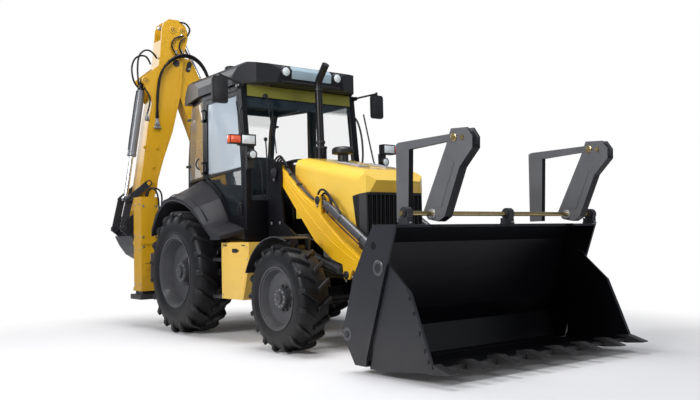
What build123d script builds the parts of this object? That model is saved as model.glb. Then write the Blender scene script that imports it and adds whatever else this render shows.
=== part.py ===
"""Backhoe loader: a two-axle machine with a clam loader bucket, flip-over pallet forks and a side-shift backhoe.

Millimetres. +X is forward, +Y is the machine's left, +Z is up. The origin lies on the ground under the middle of
the whole machine. Stations along the machine are measured from the rear axle, positive ahead of it.
The backhoe is stored swung to the right, so its own profile lies across the machine, in the Y-Z plane.
"""
import os
from math import atan2, cos, degrees, radians, sin

from build123d import *

os.makedirs("parts", exist_ok=True)

# ---- Overall -------------------------------------------------------------------------------------------------
wheelbase = 2170
front_reach = 4493  # rear axle to the tooth tips
rear_reach = 1724  # rear axle to the far side of the digging bucket
rear_axle_x = (rear_reach - front_reach) / 2
eye_radius, eye_half, arm_eye_half = 40, 28, 25  # a cylinder's eyes on the backhoe and on the loader arms
barrel_start = 95  # where a cylinder's barrel starts beyond its foot pin
bore_floor = 15  # the closed end of the barrel, and the rod's clearance from it when the cylinder is shut
stub_radius, stub_gap = 25, 5  # the pin stubs on both sides of a cylinder's eye
joint_gap = 6  # clearance between pieces that move past each other
seat_gap = 0.3  # clearance between pieces that bear on each other
plate = 20

# ---- Wheels --------------------------------------------------------------------------------------------------
rear_tyre_radius, rear_tyre_width, rear_track_half = 690, 440, 860
front_tyre_radius, front_tyre_width, front_track_half = 492, 320, 924
rear_rim_radius, front_rim_radius = 381, 277
lug_height_rear, lug_height_front = 38, 28
rim_wall = 14
rear_disc_inset, front_disc_inset = 190, 120  # from the tyre's outer face to the rim's disc

# ---- Axles and steering --------------------------------------------------------------------------------------
axle_tube_radius, axle_housing = 95, 150
kingpin_half = 700
knuckle_radius, knuckle_half = 70, 150
yoke_half, yoke_plate = 60, 32
strut_radius = 25
fender_gap = 62

# ---- Main frame ----------------------------------------------------------------------------------------------
rail_half, rail_width, rail_bottom, rail_top = 330, 80, 520, 790
frame_front, frame_rear = wheelbase + 390, -955

# ---- Loader --------------------------------------------------------------------------------------------------
arm_inner, arm_outer = 430, 530
arm_pivot = (1385, 1720)
bucket_pivot = (3285, 330)
tower_plate = 22
bucket_half = 1196
bucket_side_plate = 20

# ---- Backhoe -------------------------------------------------------------------------------------------------
kingpin_station, kingpin_y = -1440, 620
dipper_half, boom_half = 125, 95
hoe_plate = 16


def at(station, y, z):
    """A point given by its station from the rear axle."""
    return Vector(rear_axle_x + station, y, z)


def side_plane(y):
    """Plane across Y whose sketch reads (station, height) and extrudes towards -Y."""
    return Plane(origin=(rear_axle_x, y, 0), x_dir=(1, 0, 0), z_dir=(0, -1, 0))


def cross_plane(station):
    """Plane across X whose sketch reads (y, height) and extrudes towards +X."""
    return Plane(origin=(rear_axle_x + station, 0, 0), x_dir=(0, 1, 0), z_dir=(1, 0, 0))


def flat_plane(z):
    """Plane across Z whose sketch reads (station, y) and extrudes upwards."""
    return Plane(origin=(rear_axle_x, 0, z), x_dir=(1, 0, 0), z_dir=(0, 0, 1))


def slab(plane, outline, amount, both=False, corner=0, mode=Mode.ADD):
    """Extrude a straight-sided outline, with its corners rounded."""
    with BuildSketch(plane) as profile:
        Polygon(*outline, align=None)
        if corner:
            fillet(profile.vertices(), corner)
    extrude(profile.sketch, amount=amount, both=both, mode=mode)


def block(stations, ys, zs, mode=Mode.ADD):
    """A square-edged block between two stations, two Y values and two heights."""
    middle = at(sum(stations) / 2, sum(ys) / 2, sum(zs) / 2)
    with Locations(middle):
        Box(abs(stations[1] - stations[0]), abs(ys[1] - ys[0]), abs(zs[1] - zs[0]), mode=mode)


def bar(start, end, radius, mode=Mode.ADD):
    """A round bar from one point to another."""
    run = Vector(*end) - Vector(*start)
    with BuildSketch(Plane(origin=start, z_dir=run)) as section:
        Circle(radius)
    extrude(section.sketch, amount=run.length, mode=mode)


def cross_pin(station, z, y_from, y_to, radius, mode=Mode.ADD):
    """A round pin along Y."""
    bar(at(station, y_from, z), at(station, y_to, z), radius, mode)


def eye_stubs(pin, side, inner, outer):
    """Pin stubs that reach in from two loader plates to a cylinder's eye between them."""
    middle = (inner + outer) / 2
    reach = arm_eye_half + stub_gap
    cross_pin(*pin, side * inner, side * (middle - reach), stub_radius)
    cross_pin(*pin, side * outer, side * (middle + reach), stub_radius)


def hoe_stubs(pin, half):
    """Pin stubs that reach in from two backhoe plates to a cylinder's eye between them."""
    reach = eye_half + stub_gap
    hoe_pin(*pin, -half, -reach, stub_radius)
    hoe_pin(*pin, reach, half, stub_radius)


def hoe_pin(y, z, x_from, x_to, radius, mode=Mode.ADD):
    """A round pin of the stored backhoe, along X about the kingpin's station."""
    bar(at(kingpin_station + x_from, y, z), at(kingpin_station + x_to, y, z), radius, mode)


def hoe_slab(outline, x_from, x_to, corner=0, mode=Mode.ADD):
    """A plate or box of the stored backhoe between two offsets from the kingpin's station."""
    slab(cross_plane(kingpin_station + x_from), outline, x_to - x_from, corner=corner, mode=mode)


def between(start, end, share):
    """The point a share of the way along a line, in a profile."""
    return (start[0] + (end[0] - start[0]) * share, start[1] + (end[1] - start[1]) * share)


def sheet_path(plane, path, thickness, amount):
    """A bent sheet: an open path thickened to its left and extruded."""
    with BuildSketch(plane) as section:
        with BuildLine():
            edge = Polyline(*path)
            offset(edge, amount=thickness, side=Side.LEFT, kind=Kind.INTERSECTION)
        make_face()
    extrude(section.sketch, amount=amount)


def bone(start, end, radius):
    """A straight link's outline in the open sketch: two round ends joined by straight sides."""
    run = Vector(*end) - Vector(*start)
    with Locations(between(start, end, 0.5)):
        SlotCenterToCenter(run.length, 2 * radius, rotation=degrees(atan2(run.Y, run.X)))


def save(builder, name):
    """Label a finished piece and write it."""
    builder.part.label = name
    export_step(builder.part, f"parts/{name}.step")


# ---- Wheels: one tyre and one rim each -----------------------------------------------------------------------
# The carcass is many-sided with chamfered shoulders, and each lug is one straight bar of the tread's chevron.
tyre_sides, tread_row, lug_slant = 22, 0.235, 32
# name, side, station, tyre radius, tyre width, track half, rim radius, disc inset, hub radius, lug height, lugs
wheels = [
    ("rear_left", 1, 0, rear_tyre_radius, rear_tyre_width, rear_track_half, rear_rim_radius, rear_disc_inset, 120,
     lug_height_rear, 15),
    ("rear_right", -1, 0, rear_tyre_radius, rear_tyre_width, rear_track_half, rear_rim_radius, rear_disc_inset, 120,
     lug_height_rear, 15),
    ("front_left", 1, wheelbase, front_tyre_radius, front_tyre_width, front_track_half, front_rim_radius,
     front_disc_inset, 95, lug_height_front, 13),
    ("front_right", -1, wheelbase, front_tyre_radius, front_tyre_width, front_track_half, front_rim_radius,
     front_disc_inset, 95, lug_height_front, 13),
]
for name, side, station, radius, width, track, rim_radius, inset, hub_radius, lug_height, lug_count in wheels:
    centre = at(station, 0, radius)
    spin = Axis(centre, (0, 1, 0))
    section = Plane(origin=centre, x_dir=(0, side, 0), z_dir=(side, 0, 0))
    half = width / 2
    inner_face, outer_face = track - half, track + half
    carcass, wall = radius - lug_height, radius - rim_radius
    lug_foot = carcass - wall * 0.28
    rows = []
    for row in (1, -1):
        with BuildPart() as lug:
            with BuildSketch(Plane(origin=centre - Vector(0, 0, lug_foot), x_dir=(1, 0, 0), z_dir=(0, 0, -1))):
                with Locations((0, -side * (track + row * width * tread_row))):
                    Rectangle(width * 0.125, width * 0.47, rotation=row * lug_slant)
            extrude(amount=radius - lug_foot)
        rows.append(lug.part)
    with BuildPart() as tyre:
        with BuildSketch(Plane(origin=centre + Vector(0, side * track, 0), x_dir=(1, 0, 0), z_dir=(0, -1, 0))):
            RegularPolygon(carcass, tyre_sides, major_radius=False, rotation=180 / tyre_sides)
        extrude(amount=half, both=True)
        for face in tyre.faces().filter_by(Axis.Y):
            chamfer(face.edges(), wall * 0.34, width * 0.1, reference=face)
        add([rows[0].rotate(spin, 360 * count / lug_count) for count in range(lug_count)])
        add([rows[1].rotate(spin, 360 * (count + 0.5) / lug_count) for count in range(lug_count)])
        cross_pin(station, radius, side * inner_face, side * outer_face, rim_radius, mode=Mode.SUBTRACT)
    save(tyre, f"{name}_tyre")
    seat = rim_radius - seat_gap
    disc = outer_face - inset
    with BuildPart() as rim:
        with BuildSketch(section) as rim_section:
            Polygon(
                (inner_face + width * 0.09, seat), (outer_face - width * 0.09, seat),
                (outer_face - width * 0.09, seat - rim_wall), (disc + 2 * rim_wall, seat * 0.86),
                (disc + rim_wall, seat * 0.55), (disc, seat * 0.42), (disc, 0), (disc - rim_wall, 0),
                (disc - rim_wall, seat * 0.45), (disc - 2 * rim_wall, seat * 0.80), (inner_face + width * 0.09, seat - rim_wall), align=None)
        revolve(rim_section.sketch, axis=spin)
        bar(centre + Vector(0, side * disc, 0), centre + Vector(0, side * (disc + inset * 0.45), 0), hub_radius)
        bar(centre + Vector(0, side * disc, 0), centre + Vector(0, side * (disc + inset * 0.62), 0), hub_radius * 0.55)
    save(rim, f"{name}_rim")

# ---- Axles ---------------------------------------------------------------------------------------------------
rear_hub_end = rear_track_half + rear_tyre_width / 2 - rear_disc_inset - rim_wall - seat_gap
front_hub_end = front_track_half + front_tyre_width / 2 - front_disc_inset - rim_wall - seat_gap
knuckle_inner = kingpin_half - knuckle_radius
front_axle_z, rear_axle_z = front_tyre_radius, rear_tyre_radius
with BuildPart() as axles:
    cross_pin(0, rear_axle_z, -rear_hub_end, rear_hub_end, axle_tube_radius)
    cross_pin(0, rear_axle_z, -190, 190, 190)
    cross_pin(wheelbase, front_axle_z, -knuckle_inner + joint_gap, knuckle_inner - joint_gap, 75)
    cross_pin(wheelbase, front_axle_z, -20, 220, axle_housing)
    for side in (1, -1):
        root, tip = side * (knuckle_inner - 60), side * (kingpin_half + yoke_half)
        block((wheelbase - yoke_half, wheelbase + yoke_half), (root, side * (knuckle_inner - joint_gap)),
              (front_axle_z - knuckle_half - yoke_plate, front_axle_z + knuckle_half + yoke_plate))
        for low in (knuckle_half + seat_gap, -knuckle_half - seat_gap - yoke_plate):
            block((wheelbase - yoke_half, wheelbase + yoke_half), (root, tip),
                  (front_axle_z + low, front_axle_z + low + yoke_plate))
        bar(at(wheelbase, side * kingpin_half, front_axle_z),
            at(wheelbase, side * kingpin_half, front_axle_z + 300), strut_radius + seat_gap, mode=Mode.SUBTRACT)
save(axles, "axles")

fender_inner = front_track_half - front_tyre_width / 2 + 10
fender_outer = front_track_half + front_tyre_width / 2 - 4
fender_radius = front_tyre_radius + fender_gap
for name, side in (("left", 1), ("right", -1)):
    with BuildPart() as knuckle:
        bar(at(wheelbase, side * kingpin_half, front_axle_z - knuckle_half),
            at(wheelbase, side * kingpin_half, front_axle_z + knuckle_half), knuckle_radius)
        cross_pin(wheelbase, front_axle_z, side * kingpin_half, side * front_hub_end, 62)
        with BuildSketch(side_plane(max(side * fender_inner, side * fender_outer))) as arch:
            with Locations((wheelbase, front_axle_z)):
                Circle(fender_radius + 8)
                Circle(fender_radius, mode=Mode.SUBTRACT)
            Polygon((wheelbase, front_axle_z), (wheelbase - 1200, front_axle_z + 520),
                    (wheelbase - 1200, front_axle_z + 1200), (wheelbase + 330, front_axle_z + 1200),
                    align=None, mode=Mode.INTERSECT)
        extrude(arch.sketch, amount=fender_outer - fender_inner)
        bar(at(wheelbase, side * kingpin_half, front_axle_z + knuckle_half - 10),
            at(wheelbase, side * kingpin_half, front_axle_z + fender_radius + 30), strut_radius)
        bar(at(wheelbase, side * kingpin_half, front_axle_z + fender_radius + 4),
            at(wheelbase, side * (fender_inner + 40), front_axle_z + fender_radius + 4), 22)
    save(knuckle, f"knuckle_{name}")

# ---- Main frame ----------------------------------------------------------------------------------------------
saddle = front_axle_z + axle_housing + seat_gap
hood_hinge, hinge_radius = (frame_front + 30, 835), 12
cross_members = [(-700, -560, 560, 700), (620, 1500, 440, 540), (1500, 1640, 560, 760),
                 (frame_front - 100, frame_front, 430, 790)]
with BuildPart() as chassis:
    for side in (1, -1):
        block((frame_rear, frame_front), (side * (rail_half - rail_width), side * rail_half), (rail_bottom, rail_top))
        slab(side_plane(side * 265 + 15), [(frame_front - 60, 760), (frame_front - 5, 850), (frame_front + 30, 862),
                                           (frame_front + 58, 840), (frame_front + 40, 740)], 30)
    cross_pin(*hood_hinge, -255, 255, hinge_radius)
    for start, end, low, high in cross_members:
        block((start, end), (-rail_half, rail_half), (low, high))
    cross_pin(0, rear_axle_z, -rail_half, -190, axle_tube_radius + seat_gap, mode=Mode.SUBTRACT)
    cross_pin(0, rear_axle_z, 190, rail_half, axle_tube_radius + seat_gap, mode=Mode.SUBTRACT)
    block((wheelbase - 160, wheelbase + 160), (-rail_half, rail_half), (saddle, rail_top - 60))
    block((wheelbase - 160, wheelbase + 160), (-rail_half, rail_half), (rail_bottom - 50, saddle),
          mode=Mode.SUBTRACT)
save(chassis, "chassis_frame")

with BuildPart() as engine:
    block((wheelbase - 410, wheelbase + 230), (-230, 230), (rail_top - 60 + seat_gap, 1420))
save(engine, "engine_block")

# ---- Side boxes and steps ------------------------------------------------------------------------------------
box_outline = [(930, 1010), (1500, 1010), (1500, 800), (1370, 430), (930, 430)]
box_face, box_inner, step_height, step_rear = 950, 560, 820, 705
with BuildPart() as side_boxes:
    for side in (1, -1):
        slab(side_plane(max(side * box_inner, side * box_face)), box_outline, box_face - box_inner)
        block((1000, 1300), (side * rail_half, side * (box_inner + 5)), (560, 700))
        for low in (430, step_height):
            block((step_rear, 935), (side * 700, side * (box_face - 20)), (low, low + 24))
        block((step_rear, 935), (side * 700, side * 722), (430, step_height + 24))
save(side_boxes, "side_boxes")

# ---- Loader towers -------------------------------------------------------------------------------------------
tower_outline = [(1250, 760), (1560, 760), (1640, 900), (1780, 1000), (1760, 1060), (1540, 1190), (1490, 1500),
                 (1500, 1830), (1300, 1850), (1230, 1500)]
tower_inner_outline = [(1250, 760), (1480, 760), (1500, 900), (1500, 1840), (1300, 1850), (1240, 1500)]
tower_inner, tower_outer = arm_inner - joint_gap, arm_outer + joint_gap
lift_base_pin, lift_rod_pin = (1450, 1000), (2540, 690)
with BuildPart() as towers:
    for side in (1, -1):
        slab(side_plane(max(side * tower_inner, side * (tower_inner - tower_plate))), tower_inner_outline, tower_plate)
        slab(side_plane(max(side * tower_outer, side * (tower_outer + tower_plate))), tower_outline, tower_plate)
        block((1255, 1480), (side * rail_half, side * (tower_outer + tower_plate)), (760, 810))
        cross_pin(*arm_pivot, side * (tower_inner - tower_plate), side * (tower_outer + tower_plate + 14), 42)
        block((1255, 1330), (side * tower_inner, side * tower_outer), (820, 1300))
        cross_pin(*lift_base_pin, side * tower_inner, side * tower_outer, stub_radius)
save(towers, "loader_towers")

# ---- Loader arms ---------------------------------------------------------------------------------------------
arm_outline = [(1310, 1680), (1310, 1775), (1350, 1812), (1430, 1780), (1800, 1480), (2120, 1300), (2230, 1190),
               (2450, 1030), (2817, 820), (3060, 660), (3270, 460), (3325, 390), (3343, 330), (3325, 285), (3270, 262), (3200, 290),
               (2950, 500), (2640, 740), (2330, 830), (2050, 1000), (1780, 1270), (1420, 1640)]
tilt_base_pin, tilt_rod_pin = (2100, 1400), (3385, 610)
cross_tube = (2960, 760)
cheek_plate, channel_radius = 18, 150
with BuildPart() as arms:
    for side in (1, -1):
        slab(side_plane(max(side * arm_inner, side * arm_outer)), arm_outline, arm_outer - arm_inner)
        for inner in (arm_inner, arm_outer - cheek_plate):
            slab(side_plane(max(side * inner, side * (inner + cheek_plate))),
                 [(2030, 1340), (2060, 1450), (2140, 1450), (2160, 1250)], cheek_plate)
            slab(side_plane(max(side * inner, side * (inner + cheek_plate))),
                 [(2480, 790), (2500, 650), (2580, 650), (2640, 760)], cheek_plate)
        cross_pin(*lift_rod_pin, side * (arm_inner + cheek_plate), side * (arm_outer - cheek_plate), channel_radius,
                  mode=Mode.SUBTRACT)
        cross_pin(*tilt_base_pin, side * arm_inner, side * arm_outer, stub_radius)
    cross_pin(*cross_tube, -arm_inner, arm_inner, 55)
    for side in (1, -1):
        cross_pin(*arm_pivot, side * arm_outer, side * arm_inner, 42 + seat_gap, mode=Mode.SUBTRACT)
        cross_pin(*bucket_pivot, side * arm_outer, side * arm_inner, 35 + seat_gap, mode=Mode.SUBTRACT)
save(arms, "loader_arms")


def cylinder_pair(name, base, rod_end, y, barrel_radius, rod_radius, share, eye_half, retraction):
    """The barrels and rods of a left and a right cylinder, as two pieces; the rods can still shorten by retraction."""
    run = Vector(rod_end[0] - base[0], 0, rod_end[1] - base[1])
    along = run.normalized()
    with BuildPart() as barrels:
        for side in (1, -1):
            foot = at(base[0], side * y, base[1])
            bar(foot, foot + along * (barrel_start + 5), eye_half - 1)
            bar(foot + along * barrel_start, foot + run * share, barrel_radius)
            cross_pin(*base, side * y - eye_half, side * y + eye_half, eye_radius)
            bar(foot + along * (barrel_start + bore_floor), foot + run * share + along * 5, rod_radius + seat_gap,
                mode=Mode.SUBTRACT)
            cross_pin(*base, side * y - barrel_radius, side * y + barrel_radius, stub_radius + seat_gap,
                      mode=Mode.SUBTRACT)
    save(barrels, f"{name}_barrels")
    with BuildPart() as rods:
        for side in (1, -1):
            foot, head = at(base[0], side * y, base[1]), at(rod_end[0], side * y, rod_end[1])
            bar(foot + along * (barrel_start + 2 * bore_floor + retraction), head, rod_radius)
            cross_pin(*rod_end, side * y - eye_half, side * y + eye_half, rod_radius * 1.5)
    save(rods, f"{name}_rods")


arm_middle = (arm_inner + arm_outer) / 2
# name, foot pin, rod pin, y, barrel radius, rod radius, barrel's end as a share of the length, eye half, retraction
cylinder_pair("lift", lift_base_pin, lift_rod_pin, arm_middle, 42, 23, 0.88, arm_eye_half, 50)
cylinder_pair("tilt", tilt_base_pin, tilt_rod_pin, arm_middle, 42, 23, 0.72, arm_eye_half, 185)

# ---- Loader bucket -------------------------------------------------------------------------------------------
bucket_side = [(4011, 1111), (3753, 1111), (3671, 992), (3509, 736), (3410, 450), (3347, 300), (3504, 60), (3640, 60),
               (3645, 115), (3897, 808)]
bucket_path = [(4011, 1111), (3753, 1111), (3671, 992), (3580, 736), (3485, 450), (3412, 300), (3504, 60), (3640, 60)]
clam_pivot = (3810, 799)
bucket_inner = bucket_half - bucket_side_plate
clam_plate, clam_pin_radius = 20, 36
clam_half = bucket_inner - joint_gap
fork_y = 800
ear_outline = [(3232, 330), (3250, 390), (3345, 650), (3385, 660), (3440, 665), (3550, 680), (3495, 450), (3424, 300), (3432, 240),
               (3300, 270), (3250, 285)]
with BuildPart() as bucket:
    for side in (1, -1):
        slab(side_plane(max(side * bucket_half, side * bucket_inner)), bucket_side, bucket_side_plate)
        for inner in (arm_inner - joint_gap - plate, arm_outer + joint_gap):
            slab(side_plane(max(side * inner, side * (inner + plate))), ear_outline, plate)
        cross_pin(*bucket_pivot, side * (arm_inner - joint_gap), side * (arm_outer + joint_gap), 35)
        eye_stubs(tilt_rod_pin, side, arm_inner - joint_gap, arm_outer + joint_gap)
        cross_pin(*clam_pivot, side * (clam_half - clam_plate - 8), side * (bucket_half + 8), clam_pin_radius)
    sheet_path(side_plane(bucket_inner), bucket_path, plate, 2 * bucket_inner)
    for side in (1, -1):
        block((3940, 4030), (side * fork_y - 52, side * fork_y + 52), (1050, 1120), mode=Mode.SUBTRACT)
save(bucket, "loader_bucket")

# ---- Clam: the jaw that carries the cutting edge --------------------------------------------------------------
clam_side = [(3740, 850), (3800, 885), (3880, 865), (3920, 809), (4126, 626), (4244, 342), (4335, 125), (4335, 95),
             (3850, 44), (3656, 44), (3690, 150)]
clam_floor = [(3656, 44), (3850, 44), (4335, 95), (4335, 120), (3850, 69), (3656, 69)]
tooth_outline = [(4230, 84), (4335, 80), (front_reach, 96), (front_reach, 104), (4335, 150), (4230, 140)]
tooth_count, tooth_width = 8, 75
with BuildPart() as clam:
    for side in (1, -1):
        slab(side_plane(max(side * clam_half, side * (clam_half - clam_plate))), clam_side, clam_plate)
    slab(side_plane(clam_half), clam_floor, 2 * clam_half)
    for count in range(tooth_count):
        y = -clam_half + tooth_width / 2 + count * (2 * clam_half - tooth_width) / (tooth_count - 1)
        slab(side_plane(y + tooth_width / 2), tooth_outline, tooth_width)
    cross_pin(*clam_pivot, -bucket_half, bucket_half, clam_pin_radius + seat_gap, mode=Mode.SUBTRACT)
save(clam, "clam_jaw")

# ---- Fork shaft and forks ------------------------------------------------------------------------------------
fork_shaft = (4020, 1192)
fork_head = (4228, 1743)
shaft_radius, fork_bolt_radius = 18, 15
with BuildPart() as shaft:
    cross_pin(*fork_shaft, -1150, 1150, shaft_radius)
save(shaft, "fork_shaft")
with BuildPart() as shaft_brackets:
    for y in (-1120, -25, 1070):
        block((3960, 4060), (y, y + 50), (1111 + seat_gap, 1160))
        with BuildSketch(side_plane(y + 50)) as eye:
            with Locations(fork_shaft):
                Circle(48)
                Circle(shaft_radius + seat_gap, mode=Mode.SUBTRACT)
        extrude(eye.sketch, amount=50)
save(shaft_brackets, "shaft_brackets")

arm_profile = [(3930, 1215), (3975, 1150), (4080, 1130), (4150, 1165), (4314, 1513), (4447, 1640), (4450, 1720),
               (4400, 1790), (4240, 1800), (4185, 1680)]
with BuildPart() as fork_arms:
    for side in (1, -1):
        slab(side_plane(side * fork_y + 40), arm_profile, 80)
        cross_pin(*fork_shaft, side * fork_y - 40, side * fork_y + 40, shaft_radius + seat_gap, mode=Mode.SUBTRACT)
        slab(side_plane(side * fork_y + 40 - 14), [(4150, 1660), (4470, 1660), (4470, 1830), (4150, 1830)], 52, mode=Mode.SUBTRACT)
        cross_pin(*fork_head, side * fork_y - 40, side * fork_y + 40, fork_bolt_radius)
save(fork_arms, "fork_arms")

tine_thick, tine_width = 42, 46
tine_profile = [(4290, 1765), (4290, 1720), (3764, 1700), (3742, 1270), (3735, 1140), (3600, 1140), (3610, 1752), (3640, 1765)]
with BuildPart() as fork_tines:
    for side in (1, -1):
        slab(side_plane(side * fork_y + tine_width / 2), tine_profile, tine_width)
        cross_pin(*fork_head, side * fork_y - 40, side * fork_y + 40, fork_bolt_radius + seat_gap, mode=Mode.SUBTRACT)
save(fork_tines, "fork_tines")

# ---- Hood, grille --------------------------------------------------------------------------------------------
hood_half, hood_wall, hood_shoulder = 390, 12, 120
hood_back, hood_top = 1515, 1868
hood_outline = [(hood_back, 1240), (hood_back, 1850), (1600, hood_top), (frame_front - 420, 1765), (frame_front, 1672),
                (frame_front + 130, 1560), (frame_front + 90, 1450), (frame_front - 90, 1420), (frame_front, 910),
                (frame_front - 320, 1000), (1800, 1240)]
hood_space_outline = [(hood_back - 15, 700), (hood_back - 15, 1838), (1600, 1852), (frame_front - 420, 1750),
                      (frame_front - 10, 1657), (frame_front + 105, 1560), (frame_front + 80, 1470),
                      (frame_front + 140, 700)]
stack_foot, shroud_radius = (1470, -30), 62
cleaner = (1822, 0)


def round_shoulders(half, top, shoulder):
    """Round both long top corners of the open part along the hood's slope."""
    slope = Vector(frame_front - 1600, 0, 1672 - hood_top).normalized()
    across = Plane(origin=at(1400, 0, hood_top + 40), x_dir=(0, 1, 0), z_dir=slope)
    with BuildSketch(across) as crown:
        Polygon((-half, top - 1400), (half, top - 1400), (half, top), (-half, top), align=None)
        fillet(crown.vertices().group_by(Axis.Z)[-1], shoulder)
    extrude(crown.sketch, amount=1500, mode=Mode.INTERSECT)


def nose_plan(half, front):
    """The hood's plan: straight sides and a nose with cut corners."""
    return [(1400, half), (front - 120, half), (front - 60, half - 40), (front, half - 120), (front, 120 - half),
            (front - 60, 40 - half), (front - 120, -half), (1400, -half)]


with BuildPart() as hood_space:
    slab(side_plane(hood_half - hood_wall), hood_space_outline, 2 * (hood_half - hood_wall))
    slab(flat_plane(600), nose_plan(hood_half - hood_wall, frame_front + 118), 1400, mode=Mode.INTERSECT)
    round_shoulders(hood_half - hood_wall, -hood_wall - 4, hood_shoulder - hood_wall)
with BuildPart() as hood:
    slab(side_plane(hood_half), hood_outline, 2 * hood_half)
    slab(flat_plane(600), nose_plan(hood_half, frame_front + 130), 1400, mode=Mode.INTERSECT)
    round_shoulders(hood_half, 0, hood_shoulder)
    add(hood_space.part, mode=Mode.SUBTRACT)
    bar(at(*stack_foot, 1400), at(*stack_foot, 2000), shroud_radius + joint_gap + 4, mode=Mode.SUBTRACT)
    bar(at(*cleaner, 1795), at(*cleaner, 1915), 56)
    with BuildSketch(Plane(origin=at(*cleaner, 0), x_dir=(1, 0, 0), z_dir=(0, -1, 0))) as cap:
        Polygon((0, 1900), (100, 1900), (115, 1912), (115, 1944), (98, 1968), (50, 1978), (0, 1978), align=None)
    revolve(cap.sketch, axis=Axis(at(*cleaner, 0), (0, 0, 1)))
    for side in (1, -1):
        for count in range(6):
            block((2030 + 62 * count, 2060 + 62 * count), (side * 120, side * (hood_half - 175)), (1640, 1840),
                  mode=Mode.SUBTRACT)
save(hood, "hood")
with BuildPart() as grille:
    slab(side_plane(hood_half - 2), [(frame_front - 89.2, 1419.7), (frame_front + 89, 1449.4), (frame_front + 80, 1100),
         (frame_front + 52, 880), (frame_front + 10, 880), (frame_front + 0.6, 910)], 2 * hood_half - 4)
    slab(flat_plane(600), nose_plan(hood_half - 2, frame_front + 128), 1400, mode=Mode.INTERSECT)
    for count in range(13):
        block((frame_front + 40, frame_front + 100), (-336 + 52 * count, -300 + 52 * count), (930, 1425),
              mode=Mode.SUBTRACT)
    for y in (-220, 180):
        slab(side_plane(y + 40), [(frame_front + 12, 890), (frame_front + 52, 890), (frame_front + 54, 830),
                                  (frame_front + 30, 812), (frame_front + 8, 830)], 40)
    cross_pin(*hood_hinge, -255, 255, hinge_radius + seat_gap, mode=Mode.SUBTRACT)
save(grille, "grille")

# ---- Exhaust stack, standing between the hood and the cab -----------------------------------------------------
stack_pipe = 40
with BuildPart() as stack:
    bar(at(*stack_foot, 1500), at(*stack_foot, 2010), shroud_radius)
    with BuildLine() as route:
        FilletPolyline(at(stack_foot[0], stack_foot[1], 2000), at(stack_foot[0] - 28, stack_foot[1], 2720),
                       at(stack_foot[0] + 120, stack_foot[1], 2885), radius=120)
    with BuildSketch(Plane(origin=route.line @ 0, z_dir=route.line % 0)) as pipe:
        Circle(stack_pipe)
    sweep(pipe.sketch, path=route.line)
    block((stack_foot[0] - 60, stack_foot[0] + 20), (-60, 0), (rail_top, 1505))
    block((stack_foot[0] - 80, stack_foot[0] + 20), (-rail_half, rail_half), (rail_top, rail_top + 20))
save(stack, "exhaust_stack")

# ---- Cab -----------------------------------------------------------------------------------------------------
cab_half, cab_rear, cab_front = 760, -575, 1150
tub_half, tub_front = 596, 756
post = 60
cab_floor, cab_sill, cab_head, cab_top = 1030, 1090, 2640, 2700
door_sill = 1236
pillar_kink, pillar_rake = 1830, 95  # the front pillars lean back above this height, by this much at the top
b_post = 150
quarter_sill, sill_thick = 1745, 30
rear_rake = [(0, quarter_sill - 45), (5, 2000), (70, 2460), (145, cab_top), (215, cab_top), (135, 2460), (68, 2000),
             (62, quarter_sill - 45)]  # the rear posts bulge back below the middle
door_hinge, hinge_lows = (206, cab_half + 16), (1820, 2420)
with BuildPart() as cab:
    block((cab_rear, tub_front), (-tub_half, tub_half), (cab_floor, cab_sill))
    block((tub_front, cab_front - 10), (-cab_half, cab_half), (cab_floor, cab_sill))
    for side in (1, -1):
        outer = max(side * (cab_half - post), side * cab_half)
        block((b_post, b_post + post), (side * (cab_half - post), side * cab_half), (quarter_sill, cab_top))
        slab(side_plane(outer), [(cab_front - 70, door_sill), (cab_front - 10, door_sill), (cab_front - 10, pillar_kink),
                                 (cab_front - 10 - pillar_rake, cab_top), (cab_front - 70 - pillar_rake, cab_top),
                                 (cab_front - 70, pillar_kink)], post)
        slab(side_plane(max(side * (tub_half - post), side * tub_half)),
             [(cab_rear + ahead, z) for ahead, z in rear_rake], post)
        block((b_post, cab_front - 70 - pillar_rake), (side * (cab_half - post), side * cab_half), (cab_head, cab_top))
        for low, high in ((quarter_sill, quarter_sill + sill_thick), (cab_head, cab_top)):
            start = cab_rear + (0 if low < 2000 else 145)
            slab(flat_plane(low), [(start, side * (tub_half - 60)), (start, side * tub_half), (b_post, side * cab_half),
                                   (b_post + post, side * cab_half), (b_post + post, side * (cab_half - 60)),
                                   (b_post, side * (cab_half - 64))], high - low)
        block((tub_front, cab_front - 10), (side * (cab_half - 40), side * cab_half), (cab_sill, door_sill))
        slab(side_plane(max(side * (tub_half - 30), side * tub_half)),
             [(cab_rear, cab_sill), (tub_front, cab_sill), (tub_front, door_sill), (700, door_sill + 84), (551, 1510),
              (342, 1650), (b_post - 28, quarter_sill), (cab_rear, quarter_sill)], 30)
        for low in hinge_lows:
            for bottom in (low - 25 - seat_gap, low + 90 + seat_gap):
                bar(at(door_hinge[0], side * door_hinge[1], bottom), at(door_hinge[0], side * door_hinge[1], bottom + 25), 13)
                block((door_hinge[0] - 45, door_hinge[0]), (side * (cab_half - 5), side * (door_hinge[1] + 8)),
                      (bottom, bottom + 25))
        block((b_post, b_post + post), (side * (tub_half - 30), side * tub_half), (quarter_sill - 55, quarter_sill))
    block((cab_rear + 145, cab_rear + 145 + post), (-tub_half, tub_half), (cab_head, cab_top))
    block((cab_front - 70 - pillar_rake, cab_front - 10 - pillar_rake), (-cab_half, cab_half), (cab_head, cab_top))
    block((cab_front - 40, cab_front - 10), (-cab_half, cab_half), (cab_sill, 1450))
    block((cab_rear, cab_rear + 30), (-tub_half, tub_half), (cab_sill, quarter_sill))
    block((300, 700), (-rail_half, rail_half), (rail_top, cab_floor))
save(cab, "cab_frame")

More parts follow.
